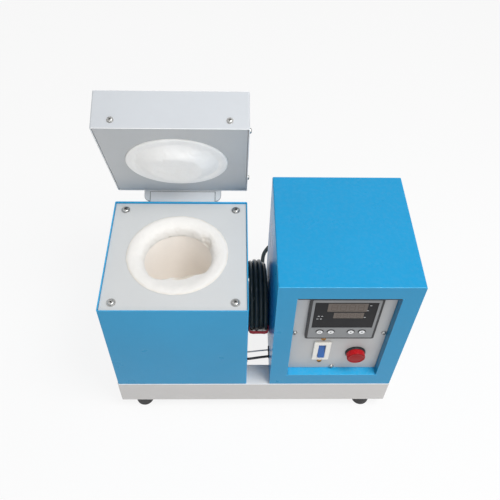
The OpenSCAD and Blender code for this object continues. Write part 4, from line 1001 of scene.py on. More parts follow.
def cross_screw_tree() -> PlacedCopies:
    """Builds the tree of a pan-head screw with a cross recess and a washer.

    Returns:
        The tree, with its head at each place and its shank behind it.
    """
    copies = PlacedCopies("cross_recess_screw", {
        "Head": 7.4, "Rise": 2.4, "Shank": 4, "Reach": 6, "Recess": 1.0, "Washer": 6.0,
        "Washer Thick": 0.1})
    sketch = copies.sketch
    form = sketch.add("GeometryNodeMeshCircle", {"Vertices": 28, "Radius": copies.share("Head", 0.5)},
                      fill_type="NGON").outputs[0]
    top: object = True
    for rise, narrow in ((0.38, 0.97), (0.30, 0.90), (0.20, 0.80), (0.12, 0.60)):
        pulled = sketch.add("GeometryNodeExtrudeMesh", {
            "Mesh": form, "Selection": top, "Offset Scale": copies.share("Rise", rise)})
        top = pulled.outputs["Top"]
        form = sketch.add("GeometryNodeScaleElements", {
            "Geometry": pulled.outputs["Mesh"], "Selection": top, "Scale": narrow}).outputs[0]
    arm, depth = copies.share("Head", 0.58), copies.share("Rise", 1.3)
    bars = copies.joined(copies.block(arm, copies.size("Recess"), depth),
                         copies.block(copies.size("Recess"), arm, depth))
    cut = sketch.add("GeometryNodeMeshBoolean", {
        "Mesh 1": form, "Mesh 2": copies.moved(bars, copies.size("Rise")), "Self Intersection": True},
        operation="DIFFERENCE", solver="EXACT").outputs[0]
    copies.close(copies.joined(
        copies.moved(cut, copies.size("Washer Thick")),
        copies.moved(copies.disc("Shank", "Reach", 16), copies.share("Reach", -0.5)),
        copies.moved(copies.disc("Washer", "Washer Thick", 40), copies.share("Washer Thick", 0.5))))
    return copies


def display_bar_tree() -> PlacedCopies:
    """Builds the tree of a flat bar along its axis, for display digits and marks.

    Returns:
        The tree.
    """
    copies = PlacedCopies("display_bar", {"Length": 5, "Width": 1, "Thick": 0.1})
    copies.close(copies.block(copies.size("Width"), copies.size("Thick"), copies.size("Length")))
    return copies


# Studio


@dataclass
class PhotoCamera:
    """The camera at the photograph's viewing angle, looking down on the bench."""

    stand: Point = (177.9, -441.4, 925.7)
    pitch_deg: float = 50.2
    yaw_deg: float = 2.1
    roll_deg: float = 1.8
    focal_px: float = 612.6
    image_px: float = 500.0
    sensor_mm: float = 36.0

    def build(self) -> None:
        """Makes the camera and sets it as the scene's."""
        pitch, yaw, roll = (math.radians(v) for v in (self.pitch_deg, self.yaw_deg, self.roll_deg))
        ahead = Vector((math.sin(yaw) * math.cos(pitch), math.cos(yaw) * math.cos(pitch), -math.sin(pitch)))
        right = Vector((math.cos(yaw), -math.sin(yaw), 0))
        above = right.cross(ahead)
        turned = math.cos(roll) * right + math.sin(roll) * above
        upright = math.cos(roll) * above - math.sin(roll) * right
        data = bpy.data.cameras.new("photo_camera")
        data.sensor_fit = "HORIZONTAL"
        data.sensor_width = self.sensor_mm
        data.lens = self.focal_px / self.image_px * self.sensor_mm
        axes = Matrix((turned, upright, -ahead)).transposed()
        camera = linked("photo_camera", data)
        camera.matrix_world = Matrix.Translation(Bench.at(*self.stand)) @ axes.to_4x4()
        bpy.context.scene.camera = camera
        LOG.info("camera set")


@dataclass
class Studio:
    """Soft light from above, a weak spot on the open lid, a pale floor and a white surround."""

    fill: float = 0.42
    key_watt: float = 16.0
    key_from: Point = (750.0, -300.0, 1700.0)
    key_size_mm: float = 650.0
    front_watt: float = 4.6
    front_from: Point = (420.0, -1350.0, 850.0)
    front_size_mm: float = 1200.0
    aim: Point = (207.0, 110.0, 200.0)
    lid_watt: float = 6.0
    lid_from: Point = (135.0, -900.0, 350.0)
    lid_aim: Point = (112.0, 200.0, 335.0)
    lid_cone_deg: float = 17.0
    lid_soft_mm: float = 120.0
    floor_mm: float = 6000.0
    floor_thick: float = 5.0
    floor_below: float = 0.1
    floor_sides: int = 64
    floor_albedo: float = 0.92
    floor_veil: float = 0.86

    def build(self) -> None:
        """Sets the view, the world, the lamps and the floor."""
        bpy.context.scene.view_settings.view_transform = "Standard"
        self._world()
        self._area_lamp("key", self.key_from, self.key_watt, self.key_size_mm)
        self._area_lamp("front", self.front_from, self.front_watt, self.front_size_mm)
        self._lid_lamp()
        self._floor()
        LOG.info("studio set")

    @staticmethod
    def _seen(sketch: Sketch) -> Socket:
        """Gives 1 for rays that show the background: seen, mirrored or through glass.

        Args:
            sketch: Tree that asks.

        Returns:
            The value.
        """
        path = sketch.add("ShaderNodeLightPath").outputs
        mirrored = sketch.math("MAXIMUM", path["Is Camera Ray"], path["Is Glossy Ray"])
        return sketch.math("MAXIMUM", mirrored, path["Is Transmission Ray"])

    def _world(self) -> None:
        """Makes the world: white where it is seen, a soft fill where it lights."""
        world = bpy.data.worlds.new("studio")
        world.use_nodes = True
        sketch = Sketch(world.node_tree)
        strength = sketch.remap(self._seen(sketch), 0.0, 1.0, self.fill, 1.0)
        sky = sketch.add("ShaderNodeBackground", {"Color": (1, 1, 1, 1), "Strength": strength})
        sketch.join(sky.outputs[0], sketch.add("ShaderNodeOutputWorld").inputs[0])
        bpy.context.scene.world = world

    @staticmethod
    def _stand(data: bpy.types.Light, place: Point, aim: Point) -> None:
        """Puts a lamp on its stand.

        Args:
            data: The lamp.
            place: Where it stands on the bench.
            aim: Where it looks.
        """
        away = Bench.at(*place) - Bench.at(*aim)
        turn = away.to_track_quat("Z", "Y").to_matrix().to_4x4()
        linked(data.name, data).matrix_world = Matrix.Translation(Bench.at(*place)) @ turn

    def _area_lamp(self, name: str, place: Point, watt: float, size_mm: float) -> None:
        """Adds a square lamp that looks at the furnace.

        Args:
            name: Name of the lamp.
            place: Where it stands on the bench.
            watt: Its power.
            size_mm: Length of its side.
        """
        data = bpy.data.lights.new(name, "AREA")
        data.energy = watt
        data.size = size_mm * MM
        self._stand(data, place, self.aim)

    def _lid_lamp(self) -> None:
        """Adds a weak soft spot that lifts the open lid's underside out of the shade."""
        data = bpy.data.lights.new("lid_spot", "SPOT")
        data.energy = self.lid_watt
        data.spot_size = math.radians(self.lid_cone_deg)
        data.spot_blend = 1.0
        data.shadow_soft_size = self.lid_soft_mm * MM
        self._stand(data, self.lid_from, self.lid_aim)

    def _floor(self) -> None:
        """Lays the pale floor, which keeps the object's shadow."""
        r, under = self.floor_mm, -self.floor_thick
        place = Bench.frame_of(self.aim[0], self.aim[1], -self.floor_below)
        mesh = lathe([(0, 0), (r, 0), (r, under), (0, under)], place, self.floor_sides)
        floor = linked("floor", mesh)
        paper = bpy.data.materials.new("pale_floor")
        paper.use_nodes = True
        sketch = Sketch(paper.node_tree)
        lit = sketch.add("ShaderNodeBsdfDiffuse", {"Color": (*([self.floor_albedo] * 3), 1)})
        veil = sketch.add("ShaderNodeEmission", {"Color": (1, 1, 1, 1), "Strength": 1.0})
        share = sketch.math("MULTIPLY", self._seen(sketch), self.floor_veil)
        both = sketch.add("ShaderNodeMixShader", {0: share, 1: lit.outputs[0], 2: veil.outputs[0]})
        sketch.join(both.outputs[0], sketch.add("ShaderNodeOutputMaterial").inputs[0])
        mesh.materials.append(paper)


# The mains cord


@dataclass
class CordTie:
    """Red tape wound round the strands of the standing coil at one place.

    Attributes:
        strands: The strands' middles where the tape holds them, in bench millimetres.
        angle: Place of the tape round the coil.
        cord_d: Diameter of the cord.
        gap: Room between the strands and the tape.
        wide: Width of the wound tape.
        wraps: Turns of tape side by side.
        rounds: Steps round the strands.
        across: Points across the tape.
        roundness: Power that squares the tape's path round the strands.
        side_limit: Largest bulge toward the two boxes.
    """

    strands: list[Vector]
    angle: float
    cord_d: float
    gap: float = 0.3
    wide: float = 11.0
    wraps: int = 4
    rounds: int = 96
    across: int = 33
    roundness: float = 0.42
    side_limit: float = 0.75

    def __post_init__(self) -> None:
        """Works out the bundle's axes, its middle and its half sizes."""
        self.outward = Vector((0, math.cos(self.angle), math.sin(self.angle)))
        self.along = Vector((0, -math.sin(self.angle), math.cos(self.angle)))
        reach = [strand.dot(self.outward) for strand in self.strands]
        self.middle = sum(self.strands, Vector()) / len(self.strands)
        self.middle += self.outward * ((min(reach) + max(reach)) / 2 - self.middle.dot(self.outward))
        self.half_x = (self.strands[0].x - self.strands[-1].x + self.cord_d) / 2 + self.gap
        self.half_r = (max(reach) - min(reach) + self.cord_d) / 2 + self.gap

    def spot(self, step: int, column: int, lifted: bool) -> Vector:
        """Gives a point of the tape.

        Args:
            step: Step round the strands.
            column: Column across the tape.
            lifted: Whether the point is on the tape's outer side.

        Returns:
            The point in the row frame.
        """
        turn = FULL_TURN * step / self.rounds
        flat, tall = (math.copysign(abs(part) ** self.roundness, part)
                      for part in (math.cos(turn), math.sin(turn)))
        share = column / (self.across - 1)
        bulge = 0.0
        if lifted:
            bulge = 0.6 + 1.7 * abs(math.sin(math.pi * self.wraps * share)) ** 0.7
            bulge += 0.4 * ripple(step * 0.7, column * 0.5, 3.0, 3.0)
        slide = self.wide * (share - 0.5) + math.sin(turn) + 0.5 * ripple(step, 4.0, 1.0, 9.0)
        side = Vector((1, 0, 0)) * flat * (self.half_x + min(bulge, self.side_limit))
        over = self.outward * tall * (self.half_r + bulge)
        return Bench.at(*(self.middle + side + over + self.along * slide))

    def build(self) -> Piece:
        """Winds the tape.

        Returns:
            The tie, settled on the base.
        """
        work = bmesh.new()
        edges = (0, self.across - 1)
        outer = [[work.verts.new(self.spot(step, column, True)) for column in range(self.across)]
                 for step in range(self.rounds)]
        inner = [[work.verts.new(self.spot(step, column, False)) for column in edges]
                 for step in range(self.rounds)]
        loops = [[*ring, last, first] for ring, (first, last) in zip(outer, inner)]
        for near, far in zip(loops, [*loops[1:], loops[0]]):
            bridge(work, near, far)
        mesh = closed_mesh(work, "cord_tie")
        return settle(new_piece("cord_tie_tape", mesh, [Look.TIE]), "base", "tie_red", "cord_tie")


@dataclass
class MainsCord:
    """Black mains lead: out of its gland, into the gap, wound into a standing coil, and on to its plug."""

    exit: Point = (280.0, 231.0, 116.0)
    diameter: float = 7.0
    lane_x: float = 226.0
    lane_pitch: float = 7.0
    deck_z: float = 79.8
    coil_y: float = 124.5
    turns: float = 3.75
    turn_r: float = 54.5
    lean: float = 2.0
    lean_turns: float = 2.4
    wander: float = 0.9
    wander_rate: float = 9.3
    even_in: float = 0.5
    even_out: float = 0.75
    points_per_turn: int = 36
    step_mm: float = 6.0
    tie_shift: float = 0.13
    lead_in: tuple[Point, ...] = (
        (0, 0, 0), (0, 12, -1.2), (-3.6, 25.5, -4.5), (-13.5, 35.4, -11), (-27, 39, -20),
        (-40.5, 35.4, -29), (-50.4, 25.5, -35.5), (-54, 12, -38.7), (-54, -3, -39), (-54, -18, -37.8),
        (-54, -33, -36.4), (-54, -50, -36.2), (-54, -67, -36.2), (-54, -84, -36.2))
    tail: tuple[Point, ...] = (
        (-80, -50.8, 4), (-80.5, -46.5, -10), (-81.5, -39, -22), (-82.7, -30, -32.5), (-84.5, -21.5, -45),
        (-87, -15.5, -59), (-90.5, -11.5, -73.5), (-95.5, -9, -87), (-104, -6.5, -97.5), (-116, -4.5, -103),
        (-130, -3, -104), (-143, -3, -104))

    def radius_at(self, turn: float) -> float:
        """Gives the radius of the winding after a number of turns.

        Args:
            turn: Turns from the bottom.

        Returns:
            The radius in millimetres.
        """
        leaning = self.lean * -math.cos(math.pi * min(1.0, turn / self.lean_turns))
        leaning += self.wander * math.sin(self.wander_rate * turn)
        last = self.turns - self.even_out
        loose = ease(turn / self.even_in) * (1 - ease((turn - last) / self.even_out))
        return self.turn_r + leaning * loose - self.lean

    def coil_point(self, turn: float) -> Vector:
        """Gives a point of the winding.

        Args:
            turn: Turns from the bottom.

        Returns:
            The point on the bench, in millimetres.
        """
        radius = self.radius_at(turn)
        angle = FULL_TURN * turn
        return Vector((self.lane_x - self.lane_pitch * turn, self.coil_y - radius * math.sin(angle),
                       self.deck_z + radius - radius * math.cos(angle)))

    def route(self) -> list[Vector]:
        """Lays the whole route.

        Returns:
            Its points on the bench, in millimetres.
        """
        start = Vector(self.exit)
        count = round(self.turns * self.points_per_turn)
        coil = [self.coil_point(self.turns * step / count) for step in range(count + 1)]
        points = [start + Vector(p) for p in self.lead_in] + coil + [start + Vector(p) for p in self.tail]
        return smooth_path(points, lambda length: max(1, math.ceil(length / self.step_mm)))

    def build(self) -> None:
        line = [Bench.at(*p) for p in self.route()]
        curve = bpy.data.curves.new("mains_cord", "CURVE")
        curve.dimensions = "3D"
        curve.bevel_depth = self.diameter / 2 * MM
        curve.bevel_resolution = 4
        curve.use_fill_caps = True
        spline = curve.splines.new("POLY")
        spline.points.add(len(line) - 1)
        for target, spot in zip(spline.points, line):
            target.co = (*spot, 1)
        spline.use_smooth = True
        curve.materials.append(Look.CORD.material())
        cord = linked("mains_cord", curve)
        settle(cord, "base", "cord_pvc", "cord_tube", "cord_coil")
        plug = dressed("cord_plug", Look.BLACK, "cord_pvc", width_mm=1.2, segments=3)
        pins = dressed("plug_pins", Look.BRASS, "brass", width_mm=0.3)
        tie = self._tie()
        length = sum((b - a).length for a, b in zip(line, line[1:]))
        LOG.info("cord is %.3f m long", length)
        tuple(line[0])

    def _tie(self) -> Piece:
        """Winds the tape where the CAD tie sits on the coil.

        Returns:
            The tie.
        """
        low, high = Bench.box("cord_tie")
        middle = (low + high) / 2
        angle = math.atan2(middle.z - self.deck_z - self.turn_r, middle.y - self.coil_y) - self.tie_shift
        first = math.atan2(-math.cos(angle), -math.sin(angle)) / FULL_TURN % 1
        strands = [self.coil_point(first + turn) for turn in range(math.ceil(self.turns - first))]
        return CordTie(strands, angle, self.diameter).build()


# Sub-assemblies


@dataclass
class SoftFibre:
    """The two pieces of white ceramic fibre that show: the collar round the pot and the lid's pad."""

    sides: int = 220
    fill: float = 0.8
    hinge: Point = (97.5, 204.0, 249.0)
    lid_open_deg: float = 67.2
    lid_z: float = 274.2
    neck_r: float = 69.3
    bore_r: float = 46.75
    collar_seat: float = 15.5
    collar_steps: int = 6
    tear_at: float = 0.60
    tear_half: float = 0.36
    flap_at: float = -1.40
    flap_half: float = 0.85
    scorch_at: float = -1.15
    pad_back: float = 10.8
    pad_back_r: float = 77.3
    pad_seat: float = 2.3
    pad_edge: float = 0.4
    pad_steps: int = 64
    pad_rise: float = 1.8
    pad_roll: float = 6.0
    plug_rise: float = 12.0
    plug_r: float = 58.5
    plug_slope: float = 26.0
    clear_r: float = 51.0

    def build(self) -> None:
        """Makes the collar and the pad."""
        self._collar()
        self._pad()

    def _collar(self) -> None:
        """Makes the collar: a soft crest that slopes into the pot, torn at the right, with a hot lip."""
        low, high = Bench.box("fibre_collar")
        outer, crest = (high.x - low.x) / 2, high.z - low.z
        neck, bore, seat = self.neck_r, self.bore_r, self.collar_seat
        over = Bench.box("top_plate")[1].z - low.z + 0.15
        rise = [(neck + 0.9, over + 0.4), (neck - 0.4, crest - 0.9), (neck - 2.4, crest - 0.3),
                (neck - 5.5, crest), (neck - 9.5, crest - 0.4), (neck - 12.8, crest - 1.2),
                (bore + 7.4, crest - 2.3), (bore + 5.2, crest - 3.8), (bore + 3.4, crest - 5.7),
                (bore + 1.9, crest - 8.3), (bore + 0.8, crest - 11.5), (bore, 4.0)]
        flap = [*rise[:5], (neck - 14.0, crest - 1.8), (bore + 4.6, crest - 3.6),
                (bore - 0.4, crest - 5.9), (bore - 6.0, crest - 8.6), (bore - 11.5, crest - 11.2),
                (bore - 9.5, crest - 13.2), (bore, 4.0)]
        crown, droop = self._finer(rise), self._finer(flap)
        hang = {here: (there[0] - here[0], there[1] - here[1]) for here, there in zip(crown, droop)}
        profile = [(bore + 0.4, 0.0), (outer, 0.0), (outer, seat), (neck, seat), (neck, over),
                   (neck + 0.8, over), *crown]

        def soften(angle: float, radius: float, height: float) -> Flat:
            """Roughens the crest, tears its inner edge and hangs a flap into the pot.

            Args:
                angle: Place round the axis.
                radius: Radius of the profile point.
                height: Height of the profile point.

            Returns:
                Change of radius and of height.
            """
            if (radius, height) not in hang:
                return 0.0, 0.0
            x, y = radius * math.cos(angle), radius * math.sin(angle)
            inner = ease((bore + 11.0 - radius) / 9.0)
            torn, drawn = self._tear(angle), self._flap(angle)
            edge = ease((neck + 0.9 - radius) / 3.0)
            lift = 0.55 * ripple(x, y, 0, 18) + 0.35 * ripple(x, y, 3, 7) + 0.18 * ripple(x, y, 7, 2.6)
            lift = min(edge * lift, 0.2) - torn * inner * (2.6 + 1.6 * ripple(x, y, 5, 4))
            grow = inner * (1.1 * ripple(x, y, 9, 10) + 0.6 * ripple(x, y, height / 2, 3))
            grow += torn * inner * (2.4 + 1.5 * ripple(x, y, height, 5))
            grow += 0.7 * (1 - edge) * ripple(x, y, 1, 5)
            droop_r, droop_z = hang[radius, height]
            return grow + drawn * droop_r, lift + drawn * droop_z

        def heat(spot: Vector) -> float:
            """Gives the scorch at the tear and the lip, and a darker tint along the outer edge.

            Args:
                spot: Vertex in the row frame.

            Returns:
                Share of the scorched tint.
            """
            flat = (spot - Bench.at(*MOUTH, 0)) / MM
            angle = math.atan2(flat.y, flat.x)
            reach = math.hypot(flat.x, flat.y)
            torn = ease((bore + 7.0 - reach) / 5.0) * 0.30 * self._tear(angle)
            edge_tint = ease((reach - neck + 3.0) / 3.6) * (0.18 + 0.16 * ripple(flat.x, flat.y, 0, 8))
            lip = ease(1.6 - 2.2 * apart(angle, self.scorch_at))
            return max(torn, edge_tint, ease((bore - 4.5 - reach) / 3.5) * 0.55 * lip)

        mesh = lathe(profile, Bench.frame_of(*MOUTH, low.z), self.sides, soften)
        self._finish("fibre_collar_wool", mesh, Look.USED_WOOL, heat, "base", "fibre_collar")

    def _finer(self, line: Profile) -> list[Flat]:
        """Gives a smooth profile through the points of a coarse one."""
        smooth = smooth_path([Vector((r, h, 0)) for r, h in line], lambda length: self.collar_steps)
        return [(p.x, p.y) for p in smooth]

    def _tear(self, angle: float) -> float:
        """Gives how torn the collar's inner edge is at an angle."""
        return ease(1 - apart(angle, self.tear_at) / self.tear_half)

    def _flap(self, angle: float) -> float:
        """Gives how far a flap of fibre hangs in at an angle."""
        return ease(1.5 - 1.5 * apart(angle, self.flap_at) / self.flap_half)

    def _pad(self) -> None:
        """Makes the lid's pad: a low bulge in the mouth and a raised soft plug."""
        neck, seat, back, back_r = self.neck_r, self.pad_seat, self.pad_back, self.pad_back_r
        profile = [(0.0, back), (back_r, back), (back_r, seat), (neck, seat), (neck, self.pad_edge)]
        for step in range(self.pad_steps + 1):
            radius = neck * (1 - step / self.pad_steps)
            profile.append((radius, -self._pad_height(radius)))

        def soften(angle: float, radius: float, height: float) -> Flat:
            """Puffs and creases the pad's face.

            Args:
                angle: Place round the axis.
                radius: Radius of the profile point.
                height: Height of the profile point.

            Returns:
                Change of radius and of height.
            """
            if height >= self.pad_edge:
                return 0.0, 0.0
            x, y = radius * math.cos(angle), radius * math.sin(angle)
            puff = 0.95 * ripple(x, y, 0, 30) + 0.55 * ripple(x, y, 3, 12) + 0.22 * ripple(x, y, 7, 4)
            crease = max(0.0, 1 - abs(ripple(x, y, 11, 30)) / 0.09) * 0.8
            fold = 1.3 * math.exp(-((radius - self.plug_r + 1.5) / 2.6) ** 2)
            fold *= 0.5 + 0.5 * math.cos(2 * angle - 1.2)
            edge = ease((neck - radius) / 4.0)
            lift = edge * (0.35 - puff + crease + fold)
            side = math.exp(-((radius - self.plug_r + self.plug_slope / 2) / 8.0) ** 2)
            pulled = 0.9 * max(0.0, math.sin(angle)) * (1 - edge)
            sunk = -1.6 + 1.5 * self._flap(angle) if radius < self.clear_r else -0.1
            return side * 2.2 * ripple(x, y, 2, 22) - pulled, max(lift, sunk)

        place = self._lid_place() @ Bench.frame_of(*MOUTH, self.lid_z)
        mesh = lathe(profile, place, self.sides, soften)
        self._finish("lid_pad_wool", mesh, Look.WOOL, lambda spot: 0.0, "lid", "lid_pad")

    def _pad_height(self, radius: float) -> float:
        """Gives the pad's height below the lid's edge.

        Args:
            radius: Distance from the pad's middle.

        Returns:
            The height in millimetres.
        """
        plug = self.plug_rise - self.pad_rise
        rise = ease((self.plug_r - radius) / self.plug_slope)
        rolled = max(0.0, (radius - self.neck_r + self.pad_roll) / self.pad_roll)
        return self.pad_rise * math.sqrt(max(0.0, 1 - rolled ** 2)) + plug * rise

    def _lid_place(self) -> Matrix:
        """Swings the shut lid open.

        Returns:
            The matrix of the swing in the row frame.
        """
        pin = Bench.at(*self.hinge)
        turn = Matrix.Rotation(-math.radians(self.lid_open_deg), 4, "X")
        return Matrix.Translation(pin) @ turn @ Matrix.Translation(-pin)

    def _finish(self, name: str, mesh: Mesh, look: Look, heat: Callable[[Vector], float], body: str,
                node: str) -> None:
        """Args:
            name: Name of the piece.
            mesh: Its mesh.
            look: Its finish.
            heat: Scorch at a vertex.
            body: Body that it moves with.
            node: CAD node that it stands for.
        """
        scorch = mesh.attributes.new("scorch", "FLOAT", "POINT")
        scorch.data.foreach_set("value", [heat(vertex.co) for vertex in mesh.vertices])
        piece = settle(new_piece(name, mesh, [look], sharp_deg=80), body, "fibre", node)


@dataclass
class FurnaceBox:
    """The blue furnace box with its top plate and the pot."""

    pot_sides: int = 128
    bend_steps: int = 12
    rim_steps: int = 8
    rim_r: float = 53.0
    foot_r: float = 46.0
    turn_r: float = 18.0
    wall: float = 5.5
    height: float = 110.0
    hearth_z: float = 143.0
    uneven: float = 0.18
    uneven_size: float = 24.0

    def build(self) -> None:
        """Makes the box, the plate and the pot."""
        shell = softened("furnace_shell", Look.BLUE, width_mm=0.5, fold=Look.BLUE_FOLD)
        # The furnace's front faces take the darker blue, which is painted shade.
        paint_faces(shell, Look.BLUE_FRONT, Facing.FRONT, 0.0)
        settle(shell, "base", "blue_paint", "furnace_shell")
        dressed("top_plate", Look.GREY, "grey_paint")
        self._pot()

    def _pot(self) -> None:
        """Turns the porcelain pot with its rounded rim and foot."""
        quarter, bend, half = math.pi / 2, self.foot_r - self.turn_r, self.wall / 2
        outside = arc(bend, self.turn_r, self.turn_r, -quarter, 0.0, self.bend_steps)
        rim = arc(self.rim_r - half, self.height - half, half, 0.0, math.pi, self.rim_steps)
        inside = arc(bend, self.turn_r, self.turn_r - self.wall, 0.0, -quarter, self.bend_steps)
        profile = [(0.0, 0.0), *outside, *rim, *inside, (0.0, self.wall)]

        def cast(angle: float, radius: float, height: float) -> Flat:
            """Gives the slight unevenness of a cast pot."""
            x, y = radius * math.cos(angle), radius * math.sin(angle)
            return self.uneven * ripple(x, y, height, self.uneven_size), 0.0

        mesh = lathe(profile, Bench.frame_of(*MOUTH, self.hearth_z), self.pot_sides, cast)
        pot = new_piece("crucible_pot", mesh, [Look.PORCELAIN], sharp_deg=60)
        settle(pot, "base", "porcelain", "crucible")


@dataclass
class SheetMetal:
    """The folded sheet pieces outside the furnace box: tray, feet, lid, hinge and control box."""

    edge: float = 0.55
    edge_steps: int = 3
    deck_z: float = 76.0
    opening_mid_x: float = 322.0
    opening_x: float = 388.6
    opening_low: float = 104.0
    opening_high: float = 299.8
    shadow_strip: Point = (131.0, 2.2, 2.4)
    shadow_strip_y: float = 1.3
    shadow_strip_drop: float = 0.4
    highlight_strip: Flat = (1.9, 0.8)
    highlight_strip_short: float = 3.0
    highlight_strip_in: float = 0.1
    highlight_strip_drop: float = 0.8
    strip_r: float = 0.9
    relief: float = 3.3
    relief_r: float = 1.64
    fill_y: float = 6.2
    fill_deep: float = 11.6

    def build(self) -> None:
        """Copies each sheet piece with broken edges, dresses it with painted light and shade, and adds the
        painted shadow and highlight strips and the corner fills.
        """
        for node, body, look, fold, slot in (
                ("base_tray", "base", Look.TRAY, Look.GREY_FOLD, "grey_paint"),
                ("lid_shell", "lid", Look.LID, Look.GREY_FOLD, "grey_paint"),
                ("lid_plate", "lid", Look.LID_FACE, None, "grey_paint"),
                ("hinge_strap", "lid", Look.STRAP, Look.STRAP_EDGE, "grey_paint"),
                ("hinge_bracket", "base", Look.ZINC, None, "zinc_steel"),
                ("hinge_pin", "base", Look.ZINC, None, "zinc_steel"),
                ("hinge_nut", "base", Look.ZINC, None, "zinc_steel"),
                ("control_box_shell", "base", Look.BLUE, Look.BLUE_FOLD, "blue_paint"),
                ("control_box_back", "base", Look.BLUE, None, "blue_paint"),
                ("control_panel", "base", Look.PANEL, None, "grey_paint")):
            piece = softened(node, look, self.edge, self.edge_steps, fold)
            self._dress_faces(node, piece)
            settle(piece, body, slot, node)
        dressed("rubber_feet", Look.RUBBER, "foot_rubber", width_mm=0.8, segments=3)
        dressed("cord_gland", Look.BLACK, "black_plastic", width_mm=0.5)
        self._shadow_strip()
        self._corner_fills()
        self._tray_highlight_strip()

    def _dress_faces(self, node: str, piece: Piece) -> None:
        """Paints light and shade into faces: a paler deck, and in the control box a darker front, a darker
        return inside the opening and a lighter sill.

        Args:
            node: CAD node of the piece.
            piece: The softened copy.
        """
        if node == "base_tray":
            # Painted light: the deck is paler than the rest of the tray.
            paint_faces(piece, Look.DECK, Facing.UP, self.deck_z)
        if node == "control_box_shell":
            # Painted shade: the front is a darker blue.
            paint_faces(piece, Look.BLUE_FRONT, Facing.FRONT, 0.0)
            # Painted shade: the return that looks left is darker still.
            paint_faces(piece, Look.BLUE_SHADE, Facing.LEFT, self.opening_x)
            # Painted light: the sill is a lighter blue.
            paint_faces(piece, Look.BLUE_SILL, Facing.UP, self.opening_low)

    def _shadow_strip(self) -> None:
        """Lays a thin dark strip along the top of the control box's opening: a painted shadow under the
        opening's top edge.
        """
        width, height, thick = self.shadow_strip
        place = Bench.front_of(self.opening_mid_x, self.shadow_strip_y, self.opening_high - self.shadow_strip_drop)
        mesh = outline_plate([rounded_outline(width, height, self.strip_r)], thick, place)
        settle(new_piece("opening_seal", mesh, [Look.SEAL]), "base", "black_plastic")

    def _tray_highlight_strip(self) -> None:
        """Lays a thin near-white strip along the tray's front edge: a painted highlight on the fold."""
        low, high = Bench.box("base_tray")
        height, thick = self.highlight_strip
        place = Bench.front_of((low.x + high.x) / 2, low.y + self.highlight_strip_in, high.z - self.highlight_strip_drop)
        outline = rounded_outline(high.x - low.x - self.highlight_strip_short, height, self.strip_r)
        mesh = outline_plate([outline], thick, place)
        settle(new_piece("tray_edge_bead", mesh, [Look.GREY_FOLD]), "base", "grey_paint")

    def _corner_fills(self) -> None:
        """Fills the round reliefs in the corners of the control box's opening with painted filler."""
        mid_z = (self.opening_low + self.opening_high) / 2
        across, up = self.opening_x - self.opening_mid_x, self.opening_high - mid_z
        rounds = [rounded_outline(self.relief, self.relief, self.relief_r, sx * across, sz * up)
                  for sx in (-1, 1) for sz in (-1, 1)]
        mesh = outline_plate(rounds, self.fill_deep, Bench.front_of(self.opening_mid_x, self.fill_y, mid_z))
        # The fills take the front's darker blue, which is painted shade.
        settle(new_piece("opening_corner_fills", mesh, [Look.BLUE_FRONT]), "base", "blue_paint")


